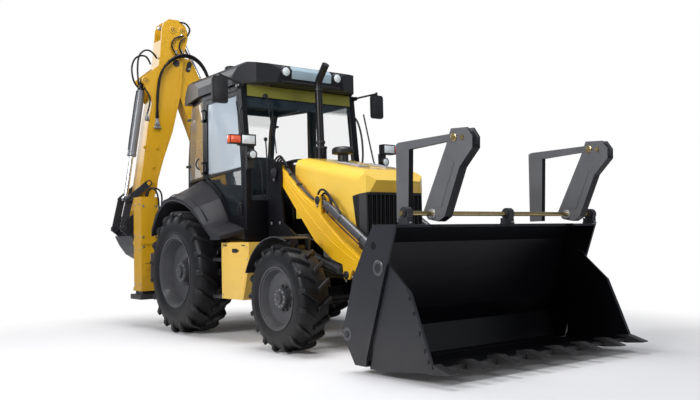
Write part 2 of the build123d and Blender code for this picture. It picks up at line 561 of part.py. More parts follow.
glass_thick = 6
with BuildPart() as glass:
    slab(side_plane(cab_half + 40), [(cab_rear + 62, quarter_sill + sill_thick), (cab_rear + 68, 2000),
                                     (cab_rear + 135, 2460), (cab_rear + 195, cab_head), (b_post - 2, cab_head),
                                     (b_post - 2, quarter_sill + sill_thick)], 2 * (cab_half + 40))
    with BuildSketch(flat_plane(quarter_sill)) as quarters:
        for side in (1, -1):
            Polygon((cab_rear, side * (tub_half - 8)), (b_post, side * (cab_half - 12)),
                    (b_post, side * (cab_half - 12 + glass_thick)),
                    (cab_rear, side * (tub_half - 8 + glass_thick)), align=None)
    extrude(quarters.sketch, amount=cab_head - quarter_sill, mode=Mode.INTERSECT)
    slab(side_plane(cab_half - post), [(cab_front - 40, 1450), (cab_front - 34, 1450), (cab_front - 34, pillar_kink),
                                       (cab_front - 34 - pillar_rake * 0.93, cab_head),
                                       (cab_front - 40 - pillar_rake * 0.93, cab_head), (cab_front - 40, pillar_kink)],
         2 * (cab_half - post))
    slab(side_plane(tub_half - post), [(cab_rear + 25, quarter_sill), (cab_rear + 30, 2000), (cab_rear + 95, 2460),
                                       (cab_rear + 150, cab_head), (cab_rear + 156, cab_head), (cab_rear + 101, 2460),
                                       (cab_rear + 36, 2000), (cab_rear + 31, quarter_sill)], 2 * (tub_half - post))
save(glass, "cab_glass")

# The roof is one moulding: its side view, its plan and its front view are cut from one another.
roof_low = cab_top + seat_gap
roof_side = [(cab_rear + 60, roof_low), (cab_rear + 75, 2790), (cab_rear + 170, 2885), (cab_rear + 330, 2950),
             (cab_rear + 560, 2985), (650, 2990), (cab_front - 250, 2965), (cab_front + 90, 2905),
             (cab_front + 140, 2850), (cab_front + 120, roof_low)]
roof_plan = [(cab_rear - 60, 640), (b_post - 40, cab_half + 32), (cab_front - 230, cab_half + 28),
             (cab_front + 40, cab_half - 110), (cab_front + 140, cab_half - 360)]
roof_cross = [(cab_half + 32, roof_low), (cab_half + 34, 2790), (cab_half - 2, 2885), (cab_half - 90, 2950),
              (cab_half - 300, 2985)]
lamp_y, lamp_z, lamp_radius = 341, 2826, 52


def both_sides(points):
    """The points of a right half followed by the same points mirrored, as one closed outline."""
    return points + [(-first, second) for first, second in reversed(points)]


with BuildPart() as roof:
    slab(side_plane(cab_half + 60), roof_side, 2 * (cab_half + 60))
    slab(flat_plane(roof_low - 10), roof_plan + [(x, -y) for x, y in reversed(roof_plan)], 400, mode=Mode.INTERSECT)
    slab(cross_plane(cab_rear - 100), both_sides(roof_cross), 2200, mode=Mode.INTERSECT)
    slab(side_plane(cab_half - 70), [(cab_rear + 190, roof_low), (cab_rear + 300, 2840), (cab_front - 200, 2840),
                                     (cab_front - 60, roof_low)], 2 * (cab_half - 70), mode=Mode.SUBTRACT)
    for side in (1, -1):
        bar(at(cab_front + 60, side * lamp_y, lamp_z), at(cab_front + 145, side * lamp_y, lamp_z), lamp_radius)
save(roof, "cab_roof")

door_front = cab_front - 70 - joint_gap
door_outline = [(b_post + post + joint_gap, 1712), (342, 1652), (551, 1512), (700, door_sill + 86),
                (762, door_sill + 8), (door_front, door_sill + 8), (door_front, pillar_kink),
                (door_front - pillar_rake * 0.93, cab_head - 8), (b_post + post + joint_gap, cab_head - 8)]
for name, side in (("left", 1), ("right", -1)):
    outer_y = max(side * (cab_half - 36), side * cab_half)
    with BuildPart() as door:
        with BuildSketch(side_plane(outer_y)) as leaf:
            with BuildSketch(mode=Mode.PRIVATE) as whole:
                Polygon(*door_outline, align=None)
            add(whole.sketch)
            offset(whole.sketch, amount=-46, kind=Kind.INTERSECTION, mode=Mode.SUBTRACT)
        extrude(leaf.sketch, amount=36)
        for low in hinge_lows:
            bar(at(door_hinge[0], side * door_hinge[1], low), at(door_hinge[0], side * door_hinge[1], low + 90), 13)
            block((door_hinge[0], door_hinge[0] + 60), (side * cab_half, side * (door_hinge[1] + 8)), (low, low + 90))
            block((door_hinge[0] + 16, door_hinge[0] + 60), (side * (cab_half - 5), side * cab_half), (low, low + 90))
    save(door, f"door_{name}")
    with BuildPart() as pane:
        with BuildSketch(side_plane(outer_y - 15)) as leaf:
            with BuildSketch(mode=Mode.PRIVATE) as whole:
                Polygon(*door_outline, align=None)
            offset(whole.sketch, amount=-46 - seat_gap, kind=Kind.INTERSECTION)
        extrude(leaf.sketch, amount=6)
    save(pane, f"door_glass_{name}")

# ---- Rear fenders --------------------------------------------------------------------------------------------
fender_out = [(-640, 1180), (-520, 1360), (-280, 1520), (-40, 1548), (225, 1495), (490, 1385), (725, 1203), (900, 1118), (1090, 1085),
              (1090, 1040), (880, 1040), (-640, 1040)]
fender_in = [(-600, 1300), (-500, 1480), (-300, 1620), (-100, 1684), (122, 1735), (342, 1640), (551, 1500), (700, door_sill + 74),
             (750, door_sill), (1090, 1150), (1090, 1040), (-600, 1040)]
with BuildPart() as rear_fenders:
    for side in (1, -1):
        with BuildSketch(side_plane(side * (cab_half + seat_gap))) as inner_edge:
            Polygon(*fender_in, align=None)
        with BuildSketch(side_plane(side * 1056)) as outer_edge:
            Polygon(*fender_out, align=None)
        loft(Sketch() + [inner_edge.sketch, outer_edge.sketch], ruled=True)
        shelf = fender_in[:8] + [(740, door_sill), (740, 1040), (-600, 1040)]
        slab(side_plane(max(side * (tub_half + seat_gap), side * (cab_half + seat_gap))), shelf, cab_half - tub_half)
        well = [(-760, 690), (760, 690), (880, 1000), (880, 1096), (708, 1194), (468, 1354), (214, 1463), (-54, 1510), (-264, 1480), (-490, 1330), (-603, 1165), (-760, 900)]
        slab(side_plane(max(side * 590, side * 1100)), well, 510, mode=Mode.SUBTRACT)
save(rear_fenders, "rear_fenders")

# ---- Seat and controls ---------------------------------------------------------------------------------------
with BuildPart() as seat_part:
    block((150, 640), (-250, 250), (1440, 1560))
    slab(side_plane(240), [(120, 1560), (230, 1560), (180, 2120), (80, 2120)], 480)
save(seat_part, "seat")
with BuildPart() as controls:
    block((250, 560), (-180, 180), (cab_sill, 1440))
    bar(at(1000, 0, cab_sill + 60), at(897, 0, 1836), 40)
    block((940, 1105), (-400, 400), (cab_sill, 1560))
    with BuildSketch(Plane(origin=at(895, 0, 1830), x_dir=(0, 1, 0), z_dir=(-0.35, 0, 1))) as wheel_ring:
        Circle(195)
        Circle(168, mode=Mode.SUBTRACT)
        Rectangle(340, 30)
    extrude(wheel_ring.sketch, amount=24)
save(controls, "controls")

# ---- Lamps and mirrors ---------------------------------------------------------------------------------------
mirror_face, mirror_arm_z = cab_half + 198, 2672  # the mirror's inner edge and the height of its arm's foot
with BuildPart() as lamps:
    for side in (1, -1):
        block((1400, 1480), (side * 836, side * 1010), (1978, 2092))
        block((1410, 1476), (side * 1005, side * 1128), (1990, 2080))
        block((1390, 1430), (side * 828, side * 912), (1760, 1985))
        bar(at(1425, side * 870, 1890), at(1470, side * 870, 1890), 45)
        bar(at(1158, side * (cab_half - 15), 1800), at(1410, side * 850, 1810), 16)
        block((cab_front - 10 + seat_gap, 1170), (side * (cab_half - 35), side * (cab_half + 5)), (1770, 1830))
        with BuildSketch(cross_plane(1105)) as mirror:
            with Locations((side * (mirror_face + 90), 2590)):
                RectangleRounded(180, 280, 34)
        extrude(mirror.sketch, amount=30)
        bar(at(1120, side * (mirror_face + 92), 2715), at(1120, side * (mirror_face + 92), 2765), 13)
        bar(at(1120, side * (mirror_face + 92), 2750), at(1120, side * (cab_half + 5), mirror_arm_z), 11)
        bar(at(1120, side * (cab_half + 10), mirror_arm_z), at(1065, side * (cab_half + 10), mirror_arm_z), 11)
        block((990, 1080), (side * (cab_half + seat_gap), side * (cab_half + 20)),
              (mirror_arm_z - 22, mirror_arm_z + 22))
save(lamps, "lamps")

# ---- Rear frame with the stabiliser casings ------------------------------------------------------------------
casing_front, casing_rear, casing_inner, casing_outer = -866, -1106, 872, 1090
casing_low, casing_high, casing_wall = 440, 1595, 14
beam_rear, beam_front = -1100, -975
with BuildPart() as rear_frame:
    for side in (1, -1):
        block((casing_rear, casing_front), (side * casing_inner, side * casing_outer), (casing_low, casing_high))
        for low, high in ((casing_low, casing_low + 40), (1010, 1050)):
            block((casing_rear - 8, casing_front + 8), (side * casing_inner, side * (casing_outer + 8)), (low, high))
        for low in (620, 700, 780):
            block((casing_front - 2, casing_front + 6), (side * 985, side * 1045), (low, low + 55))
    for low, high in ((500, 620), (960, 1080)):
        block((beam_rear, beam_front), (-casing_inner, casing_inner), (low, high))
    block((beam_front, frame_rear), (-rail_half - 40, rail_half + 40), (500, 1080))
    for side in (1, -1):
        block((casing_rear + casing_wall, casing_front - casing_wall),
              (side * (casing_inner + casing_wall), side * (casing_outer - casing_wall)),
              (casing_low, casing_high - casing_wall), mode=Mode.SUBTRACT)
save(rear_frame, "rear_frame")

leg_gap = 0.5
for name, side in (("left", 1), ("right", -1)):
    with BuildPart() as leg:
        inner, outer = side * (casing_inner + casing_wall + leg_gap), side * (casing_outer - casing_wall - leg_gap)
        block((casing_rear + casing_wall + leg_gap, casing_front - casing_wall - leg_gap), (inner, outer), (400, casing_high - 60))
        block((-1150, -820), (side * 830, side * 1120), (340, 400))
    save(leg, f"stabiliser_leg_{name}")

# ---- Backhoe carriage ----------------------------------------------------------------------------------------
lug_low, lug_high = (520, 575), (965, 1020)
carriage_half = 230
with BuildPart() as carriage:
    block((beam_rear - seat_gap - 40, beam_rear - seat_gap), (kingpin_y - carriage_half, kingpin_y + carriage_half), (460, 1110))
    for low, high in (lug_low, lug_high):
        with BuildSketch(flat_plane(low)) as lug:
            Polygon((beam_rear - 40, kingpin_y - 150), (beam_rear - 40, kingpin_y + 150),
                    (kingpin_station, kingpin_y + 90), (kingpin_station, kingpin_y - 90), align=None)
            with Locations((kingpin_station, kingpin_y)):
                Circle(90)
                Circle(40 + seat_gap, mode=Mode.SUBTRACT)
        extrude(lug.sketch, amount=high - low)
save(carriage, "hoe_carriage")

boom_foot = (kingpin_y - 190, 740)
boom_base_pin = (kingpin_y - 20, 1130)
with BuildPart() as swing_post:
    bar(at(kingpin_station, kingpin_y, lug_low[1] + joint_gap), at(kingpin_station, kingpin_y, lug_high[0] - joint_gap), 80)
    cheek = [(kingpin_y + 70, 590), (kingpin_y + 70, 950), (kingpin_y - 60, 950), (boom_foot[0] - 60, 800), (boom_foot[0] - 60, 680), (kingpin_y - 100, 590)]
    for inner in (-boom_half - joint_gap - plate, boom_half + joint_gap):
        hoe_slab(cheek, inner, inner + plate)
    hoe_slab([(kingpin_y - 70, 590), (kingpin_y + 70, 590), (kingpin_y + 70, 950), (kingpin_y - 70, 950)], -boom_half - joint_gap, boom_half + joint_gap)
    bar(at(kingpin_station, kingpin_y, lug_high[0] - 20), at(kingpin_station, kingpin_y, 1060), 40)
    bar(at(kingpin_station, kingpin_y, lug_high[1] + joint_gap), at(kingpin_station, kingpin_y, 1062), 70)
    for inner in (-78, 58):
        hoe_slab([(kingpin_y - 60, 1050), (kingpin_y + 60, 1050), (boom_base_pin[0] + 45, 1175), (boom_base_pin[0] - 45, 1175)], inner, inner + 20)
    hoe_pin(*boom_foot, -boom_half - joint_gap, boom_half + joint_gap, 32)
    hoe_pin(*boom_base_pin, -60, 60, stub_radius)
save(swing_post, "swing_post")

elbow = (-400, 3420)
boom_outline = [(340, 700), (250, 1250), (60, 1950), (-172, 2565), (-342, 2997), (-520, 3350), (-500, 3500), (-400, 3545), (-210, 3500), (-110, 3400), (-45, 3245), (100, 2800),
                (290, 2150), (470, 1350), (520, 760), (430, 660)]
boom_rod_pin, dipper_base_pin = (420, 2120), (500, 2300)
boom_ear = [(250, 1950), (340, 1970), (455, 2080), (480, 2140), (550, 2290), (545, 2330), (500, 2350), (430, 2345), (180, 2500)]
channel_half, cylinder_channel = 62, [(620, 1150), (440, 1150), (300, 1650), (170, 2180), (200, 2290), (450, 2290)]
with BuildPart() as boom:
    hoe_slab(boom_outline, -boom_half, boom_half)
    hoe_slab(cylinder_channel, -channel_half, channel_half, mode=Mode.SUBTRACT)
    for inner in (-boom_half, boom_half - plate):
        hoe_slab(boom_ear, inner, inner + plate)
    hoe_stubs(boom_rod_pin, boom_half - plate)
    hoe_pin(*dipper_base_pin, plate - boom_half, boom_half - plate, stub_radius)
    hoe_pin(*boom_foot, -boom_half, boom_half, 32 + seat_gap, mode=Mode.SUBTRACT)
    hoe_pin(*elbow, -boom_half, boom_half, 38 + seat_gap, mode=Mode.SUBTRACT)
save(boom, "boom")

dipper_rod_pin, bucket_base_pin = (-303, 3871), (-830, 3145)
tip_pin, guide_pin, lever_pin = (-900, 1420), (-815, 1798), (-1150, 1220)
link_pin = (lever_pin[0] + guide_pin[0] - tip_pin[0], lever_pin[1] + guide_pin[1] - tip_pin[1])
link_inner, link_plate = dipper_half + joint_gap, 16
guide_inner = link_inner + link_plate + joint_gap
tip_radius, link_bore = 32, 25
dipper_ear = [(-640, 3370), (-850, 3195), (-882, 3160), (-880, 3120), (-850, 3096), (-752, 2880), (-700, 2860)]
dipper_outline = [(-596, 3880), (-570, 3950), (-500, 4005), (-360, 4010), (-262, 3940), (-231, 3860), (-231, 3760),
                  (-300, 3500), (-318, 3230), (-342, 2997), (-458, 2498), (-586, 2140), (-672, 1847), (-690, 1700),
                  (-800, 1450), (-850, 1375), (-900, 1352), (-960, 1380), (-985, 1440), (-930, 1690), (-885, 1960),
                  (-800, 2569), (-629, 3490)]
with BuildPart() as dipper:
    hoe_slab(dipper_outline, -dipper_half, dipper_half)
    hoe_slab([(-700, 3120), (-620, 2900), (-300, 2900), (100, 2900), (100, 4100), (-700, 4100), (-560, 3500)], -boom_half - joint_gap, boom_half + joint_gap, mode=Mode.SUBTRACT)
    hoe_pin(*elbow, -boom_half - joint_gap, boom_half + joint_gap, 38)
    for inner in (-dipper_half, dipper_half - plate):
        hoe_slab(dipper_ear, inner, inner + plate)
    hoe_pin(*bucket_base_pin, plate - dipper_half, dipper_half - plate, stub_radius)
    for y, z in ((-853, 2269), (-675, 2266), (-732, 2014)):
        hoe_pin(y, z, dipper_half - 5, dipper_half + 4, 20)
    hoe_stubs(dipper_rod_pin, dipper_half)
    hoe_pin(*tip_pin, -dipper_half, dipper_half, tip_radius + seat_gap, mode=Mode.SUBTRACT)
    hoe_pin(*guide_pin, -guide_inner - link_plate, guide_inner + link_plate, link_bore)
save(dipper, "dipper")


def hoe_cylinder(name, base, rod_end, barrel_radius, rod_radius, share, eye_half, retraction):
    """One barrel and its rod in the stored backhoe's own plane; the rod can still shorten by retraction."""
    foot, head = at(kingpin_station, *base), at(kingpin_station, *rod_end)
    run = head - foot
    along = run.normalized()
    with BuildPart() as barrel:
        bar(foot, foot + along * (barrel_start + 5), eye_half - 1)
        bar(foot + along * barrel_start, foot + run * share, barrel_radius)
        hoe_pin(*base, -eye_half, eye_half, eye_radius)
        bar(foot + along * (barrel_start + bore_floor), foot + run * share + along * 5, rod_radius + seat_gap,
            mode=Mode.SUBTRACT)
        hoe_pin(*base, -barrel_radius, barrel_radius, stub_radius + seat_gap, mode=Mode.SUBTRACT)
    save(barrel, f"{name}_barrel")
    with BuildPart() as rod:
        bar(foot + along * (barrel_start + 2 * bore_floor + retraction), head, rod_radius)
        hoe_pin(*rod_end, -eye_half, eye_half, rod_radius * 1.5)
    save(rod, f"{name}_rod")


# name, foot pin, rod pin, barrel radius, rod radius, barrel's end as a share of the length, eye half, retraction
hoe_cylinder("boom", boom_base_pin, boom_rod_pin, 52, 30, 0.88, eye_half + 3, 10)
hoe_cylinder("dipper", dipper_base_pin, dipper_rod_pin, 48, 27, 0.55, eye_half, 725)
hoe_cylinder("bucket", bucket_base_pin, link_pin, 46, 27, 0.64, eye_half, 505)

# ---- Digging bucket and its links -----------------------------------------------------------------------------
with BuildPart() as guide_link:
    for inner, outer in ((guide_inner, guide_inner + link_plate), (-guide_inner, -guide_inner - link_plate)):
        with BuildSketch(cross_plane(kingpin_station + min(inner, outer))) as strap:
            bone(guide_pin, link_pin, 42)
            with Locations(guide_pin):
                Circle(link_bore + seat_gap, mode=Mode.SUBTRACT)
        extrude(strap.sketch, amount=link_plate)
    hoe_stubs(link_pin, guide_inner)
save(guide_link, "guide_link")
with BuildPart() as power_link:
    for inner, outer in ((link_inner, link_inner + link_plate), (-link_inner, -link_inner - link_plate)):
        with BuildSketch(cross_plane(kingpin_station + min(inner, outer))) as strap:
            bone(link_pin, lever_pin, 45)
            with Locations(link_pin):
                Circle(stub_radius + seat_gap, mode=Mode.SUBTRACT)
            with Locations(lever_pin):
                Circle(link_bore + seat_gap, mode=Mode.SUBTRACT)
        extrude(strap.sketch, amount=link_plate)
save(power_link, "power_link")

hoe_bucket_half = 284
shell_path = [(-880, 1300), (-1000, 1195), (-1100, 1120), (-1040, 1000), (-955, 885), (-820, 805), (-680, 800),
              (-550, 870), (-465, 1010), (-430, 1200)]
bucket_ear = [(-900, 1480), (-850, 1455), (-845, 1300), (-1000, 1190), (-1098, 1115), (-1135, 1150), (-1195, 1195),
              (-1198, 1235), (-1160, 1275), (-960, 1470)]
hoe_tooth = [(-446, 1150), (-440, 1200), (-418, 1330), (-406, 1330), (-404, 1200), (-408, 1150)]
hoe_tooth_width = 60
with BuildPart() as hoe_bucket:
    for inner in (-hoe_bucket_half, hoe_bucket_half - link_plate):
        hoe_slab(shell_path + [(-560, 1290)], inner, inner + link_plate)
    for count in range(5):
        low = -hoe_bucket_half + count * (2 * hoe_bucket_half - hoe_tooth_width) / 4
        hoe_slab(hoe_tooth, low, low + hoe_tooth_width)
    sheet_path(cross_plane(kingpin_station - hoe_bucket_half), shell_path, link_plate, 2 * hoe_bucket_half)
    for inner in (-guide_inner - link_plate, guide_inner):
        hoe_slab(bucket_ear, inner, inner + link_plate)
    hoe_pin(*tip_pin, -guide_inner, guide_inner, tip_radius)
    for start, end in ((-guide_inner, -link_inner), (link_inner, guide_inner)):
        hoe_pin(*lever_pin, start, end, link_bore)
save(hoe_bucket, "digging_bucket")
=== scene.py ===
"""Looks of a backhoe loader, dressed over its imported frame: one section for each group of pieces."""
import math

import bmesh
import bpy
from mathutils import Matrix, Vector


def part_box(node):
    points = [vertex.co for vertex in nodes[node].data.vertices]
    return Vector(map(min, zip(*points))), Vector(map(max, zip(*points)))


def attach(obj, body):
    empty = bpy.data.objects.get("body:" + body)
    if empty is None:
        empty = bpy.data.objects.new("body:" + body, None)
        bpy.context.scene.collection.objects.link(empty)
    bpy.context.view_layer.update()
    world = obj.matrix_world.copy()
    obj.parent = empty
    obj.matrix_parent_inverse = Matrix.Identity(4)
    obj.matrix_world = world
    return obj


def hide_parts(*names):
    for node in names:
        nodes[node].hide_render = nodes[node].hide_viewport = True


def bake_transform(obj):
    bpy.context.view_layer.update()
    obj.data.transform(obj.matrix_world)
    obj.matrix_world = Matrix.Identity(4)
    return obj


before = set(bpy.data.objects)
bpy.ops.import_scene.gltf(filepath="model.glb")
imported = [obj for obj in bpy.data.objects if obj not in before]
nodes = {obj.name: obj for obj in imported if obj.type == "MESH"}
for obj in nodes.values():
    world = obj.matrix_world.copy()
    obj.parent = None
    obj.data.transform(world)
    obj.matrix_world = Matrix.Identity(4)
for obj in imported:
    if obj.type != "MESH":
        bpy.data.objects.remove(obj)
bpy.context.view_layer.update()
scene = bpy.context.scene
scene.view_settings.view_transform = "Standard"

# ---- Viewpoint ---------------------------------------------------------------------------------------------
# The machine is seen from its right front corner, with the eye about a metre above the ground and eight
# metres away, looking up a little. The lens is fairly long.
tyre_low, tyre_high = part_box("rear_right_tyre")
rear_axle_x = (tyre_low.x + tyre_high.x) / 2
eye = Vector((rear_axle_x + 8.212, -4.811, 1.010))
yaw, pitch, roll = math.radians(52.58), math.radians(-2.95), math.radians(-1.26)
ahead = Vector((-math.sin(yaw) * math.cos(pitch), math.cos(yaw) * math.cos(pitch), -math.sin(pitch)))
level_right = Vector((math.cos(yaw), math.sin(yaw), 0))
level_up = level_right.cross(ahead)
right = math.cos(roll) * level_right + math.sin(roll) * level_up
up = math.cos(roll) * level_up - math.sin(roll) * level_right
camera = bpy.data.objects.new("camera", bpy.data.cameras.new("camera"))
camera.data.lens, camera.data.sensor_width = 39.79, 36
camera.data.clip_end = 200
camera.matrix_world = Matrix.Translation(eye) @ Matrix((right, up, -ahead)).transposed().to_4x4()
scene.collection.objects.link(camera)
scene.camera = camera


# ---- Studio ------------------------------------------------------------------------------------------------
# A pale floor that runs into a white surround. Large soft lamps hang to the right side, in front, above and
# behind. The surround is white to the eye, and a dimmer, cooler white in reflections and as a light on the
# machine.
def new_material(name):
    """An empty material and its node tree."""
    material = bpy.data.materials.new(name)
    material.use_nodes = True
    material.node_tree.nodes.clear()
    return material, material.node_tree


def add_node(tree, kind, numbered=None, group=None, **named):
    """A node with its inputs set, or fed by other nodes, by number or name, and its properties by name."""
    node = tree.nodes.new(kind)
    if group:
        node.node_tree = group
    names = [socket.name.lower().replace(" ", "_") for socket in node.inputs]
    for key in [key for key in named if key not in names]:
        setattr(node, key, named.pop(key))
    for key, value in {**(numbered or {}), **named}.items():
        socket = node.inputs[names.index(key) if key in names else key]
        if isinstance(value, bpy.types.Node):
            value = value.outputs[0]
        if isinstance(value, bpy.types.NodeSocket):
            tree.links.new(value, socket)
        else:
            socket.default_value = value
    return node


world = bpy.data.worlds.new("surround")
scene.world = world
world.use_nodes = True
sky = world.node_tree
sky.nodes.clear()
lit = add_node(sky, "ShaderNodeBackground", color=(0.93, 0.96, 1.0, 1), strength=0.17)
seen = add_node(sky, "ShaderNodeBackground", color=(1, 1, 1, 1), strength=1.0)
mirrored = add_node(sky, "ShaderNodeBackground", color=(0.80, 0.87, 0.95, 1), strength=0.40)
ray = add_node(sky, "ShaderNodeLightPath")
through = add_node(sky, "ShaderNodeMath", {0: ray.outputs["Is Camera Ray"],
                                           1: ray.outputs["Is Transmission Ray"]}, operation="MAXIMUM")
gloss = add_node(sky, "ShaderNodeMixShader", {0: ray.outputs["Is Glossy Ray"], 1: lit, 2: mirrored})
whole = add_node(sky, "ShaderNodeMixShader", {0: through, 1: gloss, 2: seen})
add_node(sky, "ShaderNodeOutputWorld", {0: whole})

floor_size = 60
floor_mesh = bpy.data.meshes.new("floor")
floor_mesh.from_pydata([(-floor_size, -floor_size, 0), (floor_size, -floor_size, 0),
                        (floor_size, floor_size, 0), (-floor_size, floor_size, 0)], [], [(0, 1, 2, 3)])
floor = bpy.data.objects.new("floor", floor_mesh)
floor.location.z = -0.002
scene.collection.objects.link(floor)
pale, tree = new_material("pale floor")
diffuse = add_node(tree, "ShaderNodeBsdfDiffuse", color=(0.73, 0.73, 0.75, 1))
glow = add_node(tree, "ShaderNodeEmission", color=(1, 1, 1, 1), strength=0.03)
white = add_node(tree, "ShaderNodeEmission", color=(1, 1, 1, 1), strength=1.0)
dark = add_node(tree, "ShaderNodeEmission", color=(0, 0, 0, 1), strength=0.0)
place = add_node(tree, "ShaderNodeTexCoord")
centred = add_node(tree, "ShaderNodeMapping", vector=place.outputs["Object"], location=(-0.8, 0.6, 0))
reach = add_node(tree, "ShaderNodeVectorMath", {0: centred}, operation="LENGTH")
near_reach, far_reach = 3.0, 5.4
away = add_node(tree, "ShaderNodeMapRange", value=reach.outputs["Value"], from_min=near_reach,
                from_max=far_reach, interpolation_type="SMOOTHSTEP")
ray = add_node(tree, "ShaderNodeLightPath")
camera_only = add_node(tree, "ShaderNodeMixShader", {0: ray.outputs["Is Camera Ray"], 1: dark, 2: glow})
near = add_node(tree, "ShaderNodeAddShader", {0: diffuse, 1: camera_only})
far_share = add_node(tree, "ShaderNodeMath", {0: away, 1: ray.outputs["Is Camera Ray"]}, operation="MULTIPLY")
ground = add_node(tree, "ShaderNodeMixShader", {0: far_share, 1: near, 2: white})
add_node(tree, "ShaderNodeOutputMaterial", surface=ground)
floor_mesh.materials.append(pale)

# name, place, where it points, side of its square, power in watts
lamps = [
    ("key lamp", (2.0, -7.8, 5.0), (0.3, 0, 1.2), 3.0, 500),
    ("front lamp", (9.5, 0.5, 4.5), (1.5, 0, 1.2), 3.0, 120),
    ("top lamp", (0.5, -0.5, 8.5), (0.2, 0, 1.0), 4.0, 500),
    ("back lamp", (-7.5, -2.0, 5.0), (-1.0, 0, 1.5), 4.0, 150),
]
for name, place, target, size, power in lamps:
    light = bpy.data.lights.new(name, "AREA")
    light.shape, light.size, light.size_y, light.energy = "RECTANGLE", size, size, power
    lamp = bpy.data.objects.new(name, light)
    lamp.location = place
    lamp.rotation_euler = (Vector(target) - Vector(place)).to_track_quat("-Z", "Y").to_euler()
    scene.collection.objects.link(lamp)


# ---- Loader arms and towers --------------------------------------------------------------------------------
# The arms are welded steel boxes in gloss yellow, and the towers that carry them are satin black. The paint
# is sprayed, which leaves a fine orange peel, and dust settles low down and on what faces up.
def new_group(name, inputs, outputs):
    """A shader group with sockets given as (name, kind, default) for inputs and (name, kind) for outputs."""
    group = bpy.data.node_groups.new(name, "ShaderNodeTree")
    for label, kind, default in inputs:
        socket = group.interface.new_socket(label, in_out="INPUT", socket_type=kind)
        socket.default_value = default
    for label, kind in outputs:
        group.interface.new_socket(label, in_out="OUTPUT", socket_type=kind)
    return group, group.nodes.new("NodeGroupInput"), group.nodes.new("NodeGroupOutput")


COLOR, FLOAT = "NodeSocketColor", "NodeSocketFloat"

mottle, given, result = new_group(
    "mottle", [("Color", COLOR, (1, 1, 1, 1)), ("Second Color", COLOR, (0, 0, 0, 1)), ("Scale", FLOAT, 3.0),
               ("Amount", FLOAT, 0.3)], [("Color", COLOR)])
place = add_node(mottle, "ShaderNodeTexCoord")
clouds = add_node(mottle, "ShaderNodeTexNoise", vector=place.outputs["Object"], scale=given.outputs["Scale"],
                  detail=5.0, roughness=0.6)
ramp = add_node(mottle, "ShaderNodeMapRange", value=clouds, from_min=0.38, from_max=0.68)
share = add_node(mottle, "ShaderNodeMath", {0: ramp, 1: given.outputs["Amount"]}, operation="MULTIPLY")
mix = add_node(mottle, "ShaderNodeMix", {0: share, 6: given.outputs["Color"],
                                         7: given.outputs["Second Color"]}, data_type="RGBA")
mottle.links.new(mix.outputs[2], result.inputs["Color"])

dust, given, result = new_group(
    "settled dust", [("Color", COLOR, (1, 1, 1, 1)), ("Dust Color", COLOR, (0.32, 0.28, 0.22, 1)),
                     ("Height", FLOAT, 0.9), ("Amount", FLOAT, 0.3), ("Roughness", FLOAT, 0.4)],
    [("Color", COLOR), ("Roughness", FLOAT)])
place = add_node(dust, "ShaderNodeTexCoord")
split = add_node(dust, "ShaderNodeSeparateXYZ", vector=place.outputs["Object"])
low = add_node(dust, "ShaderNodeMapRange", value=split.outputs["Z"], from_min=0.0,
               from_max=given.outputs["Height"], to_min=1.0, to_max=0.0)
shape = add_node(dust, "ShaderNodeNewGeometry")
facing = add_node(dust, "ShaderNodeSeparateXYZ", vector=shape.outputs["Normal"])
top = add_node(dust, "ShaderNodeMapRange", value=facing.outputs["Z"], from_min=0.3, from_max=1.0, to_max=0.5)
specks = add_node(dust, "ShaderNodeTexNoise", vector=place.outputs["Object"], scale=9.0, detail=6.0,
                  roughness=0.65)
either = add_node(dust, "ShaderNodeMath", {0: low, 1: top}, operation="MAXIMUM")
broken = add_node(dust, "ShaderNodeMath", {0: either, 1: specks}, operation="MULTIPLY")
cover = add_node(dust, "ShaderNodeMath", {0: broken, 1: given.outputs["Amount"]}, operation="MULTIPLY",
                 use_clamp=True)
mix = add_node(dust, "ShaderNodeMix", {0: cover, 6: given.outputs["Color"], 7: given.outputs["Dust Color"]},
               data_type="RGBA")
dusty_roughness = 0.85
rougher = add_node(dust, "ShaderNodeMix", {0: cover, 2: given.outputs["Roughness"], 3: dusty_roughness},
                   data_type="FLOAT")
dust.links.new(mix.outputs[2], result.inputs["Color"])
dust.links.new(rougher.outputs[0], result.inputs["Roughness"])

texture, given, result = new_group(
    "surface texture", [("Scale", FLOAT, 400.0), ("Coarse Scale", FLOAT, 4.0), ("Coarse Share", FLOAT, 0.35)],
    [("Height", FLOAT)])
place = add_node(texture, "ShaderNodeTexCoord")
fine = add_node(texture, "ShaderNodeTexNoise", vector=place.outputs["Object"], scale=given.outputs["Scale"],
                detail=2.0)
coarse = add_node(texture, "ShaderNodeTexNoise", vector=place.outputs["Object"],
                  scale=given.outputs["Coarse Scale"], detail=1.0)
blend = add_node(texture, "ShaderNodeMix", {0: given.outputs["Coarse Share"], 2: fine, 3: coarse},
                 data_type="FLOAT")
texture.links.new(blend.outputs[0], result.inputs["Height"])


def finish_of(name, color, second, roughness, *, metallic=0.0, amount=0.35, scale=3.0, dust_amount=0.25,
              dust_height=0.9, grain=350.0, depth=0.0004, coat=0.0, sheen=0.5):
    """A sprayed, moulded or cast surface: mottled colour, dust low down and a fine texture."""
    material, tree = new_material(name)
    tint = add_node(tree, "ShaderNodeGroup", group=mottle, color=(*color, 1), second_color=(*second, 1),
                    scale=scale, amount=amount)
    film = add_node(tree, "ShaderNodeGroup", group=dust, color=tint, amount=dust_amount, height=dust_height,
                    roughness=roughness)
    relief = add_node(tree, "ShaderNodeGroup", group=texture, scale=grain)
    bump = add_node(tree, "ShaderNodeBump", distance=depth, height=relief)
    shader = add_node(tree, "ShaderNodeBsdfPrincipled", base_color=film, roughness=film.outputs["Roughness"],
                      metallic=metallic, specular_ior_level=sheen, coat_weight=coat, coat_roughness=0.06,
                      normal=bump)
    add_node(tree, "ShaderNodeOutputMaterial", surface=shader)
    return material


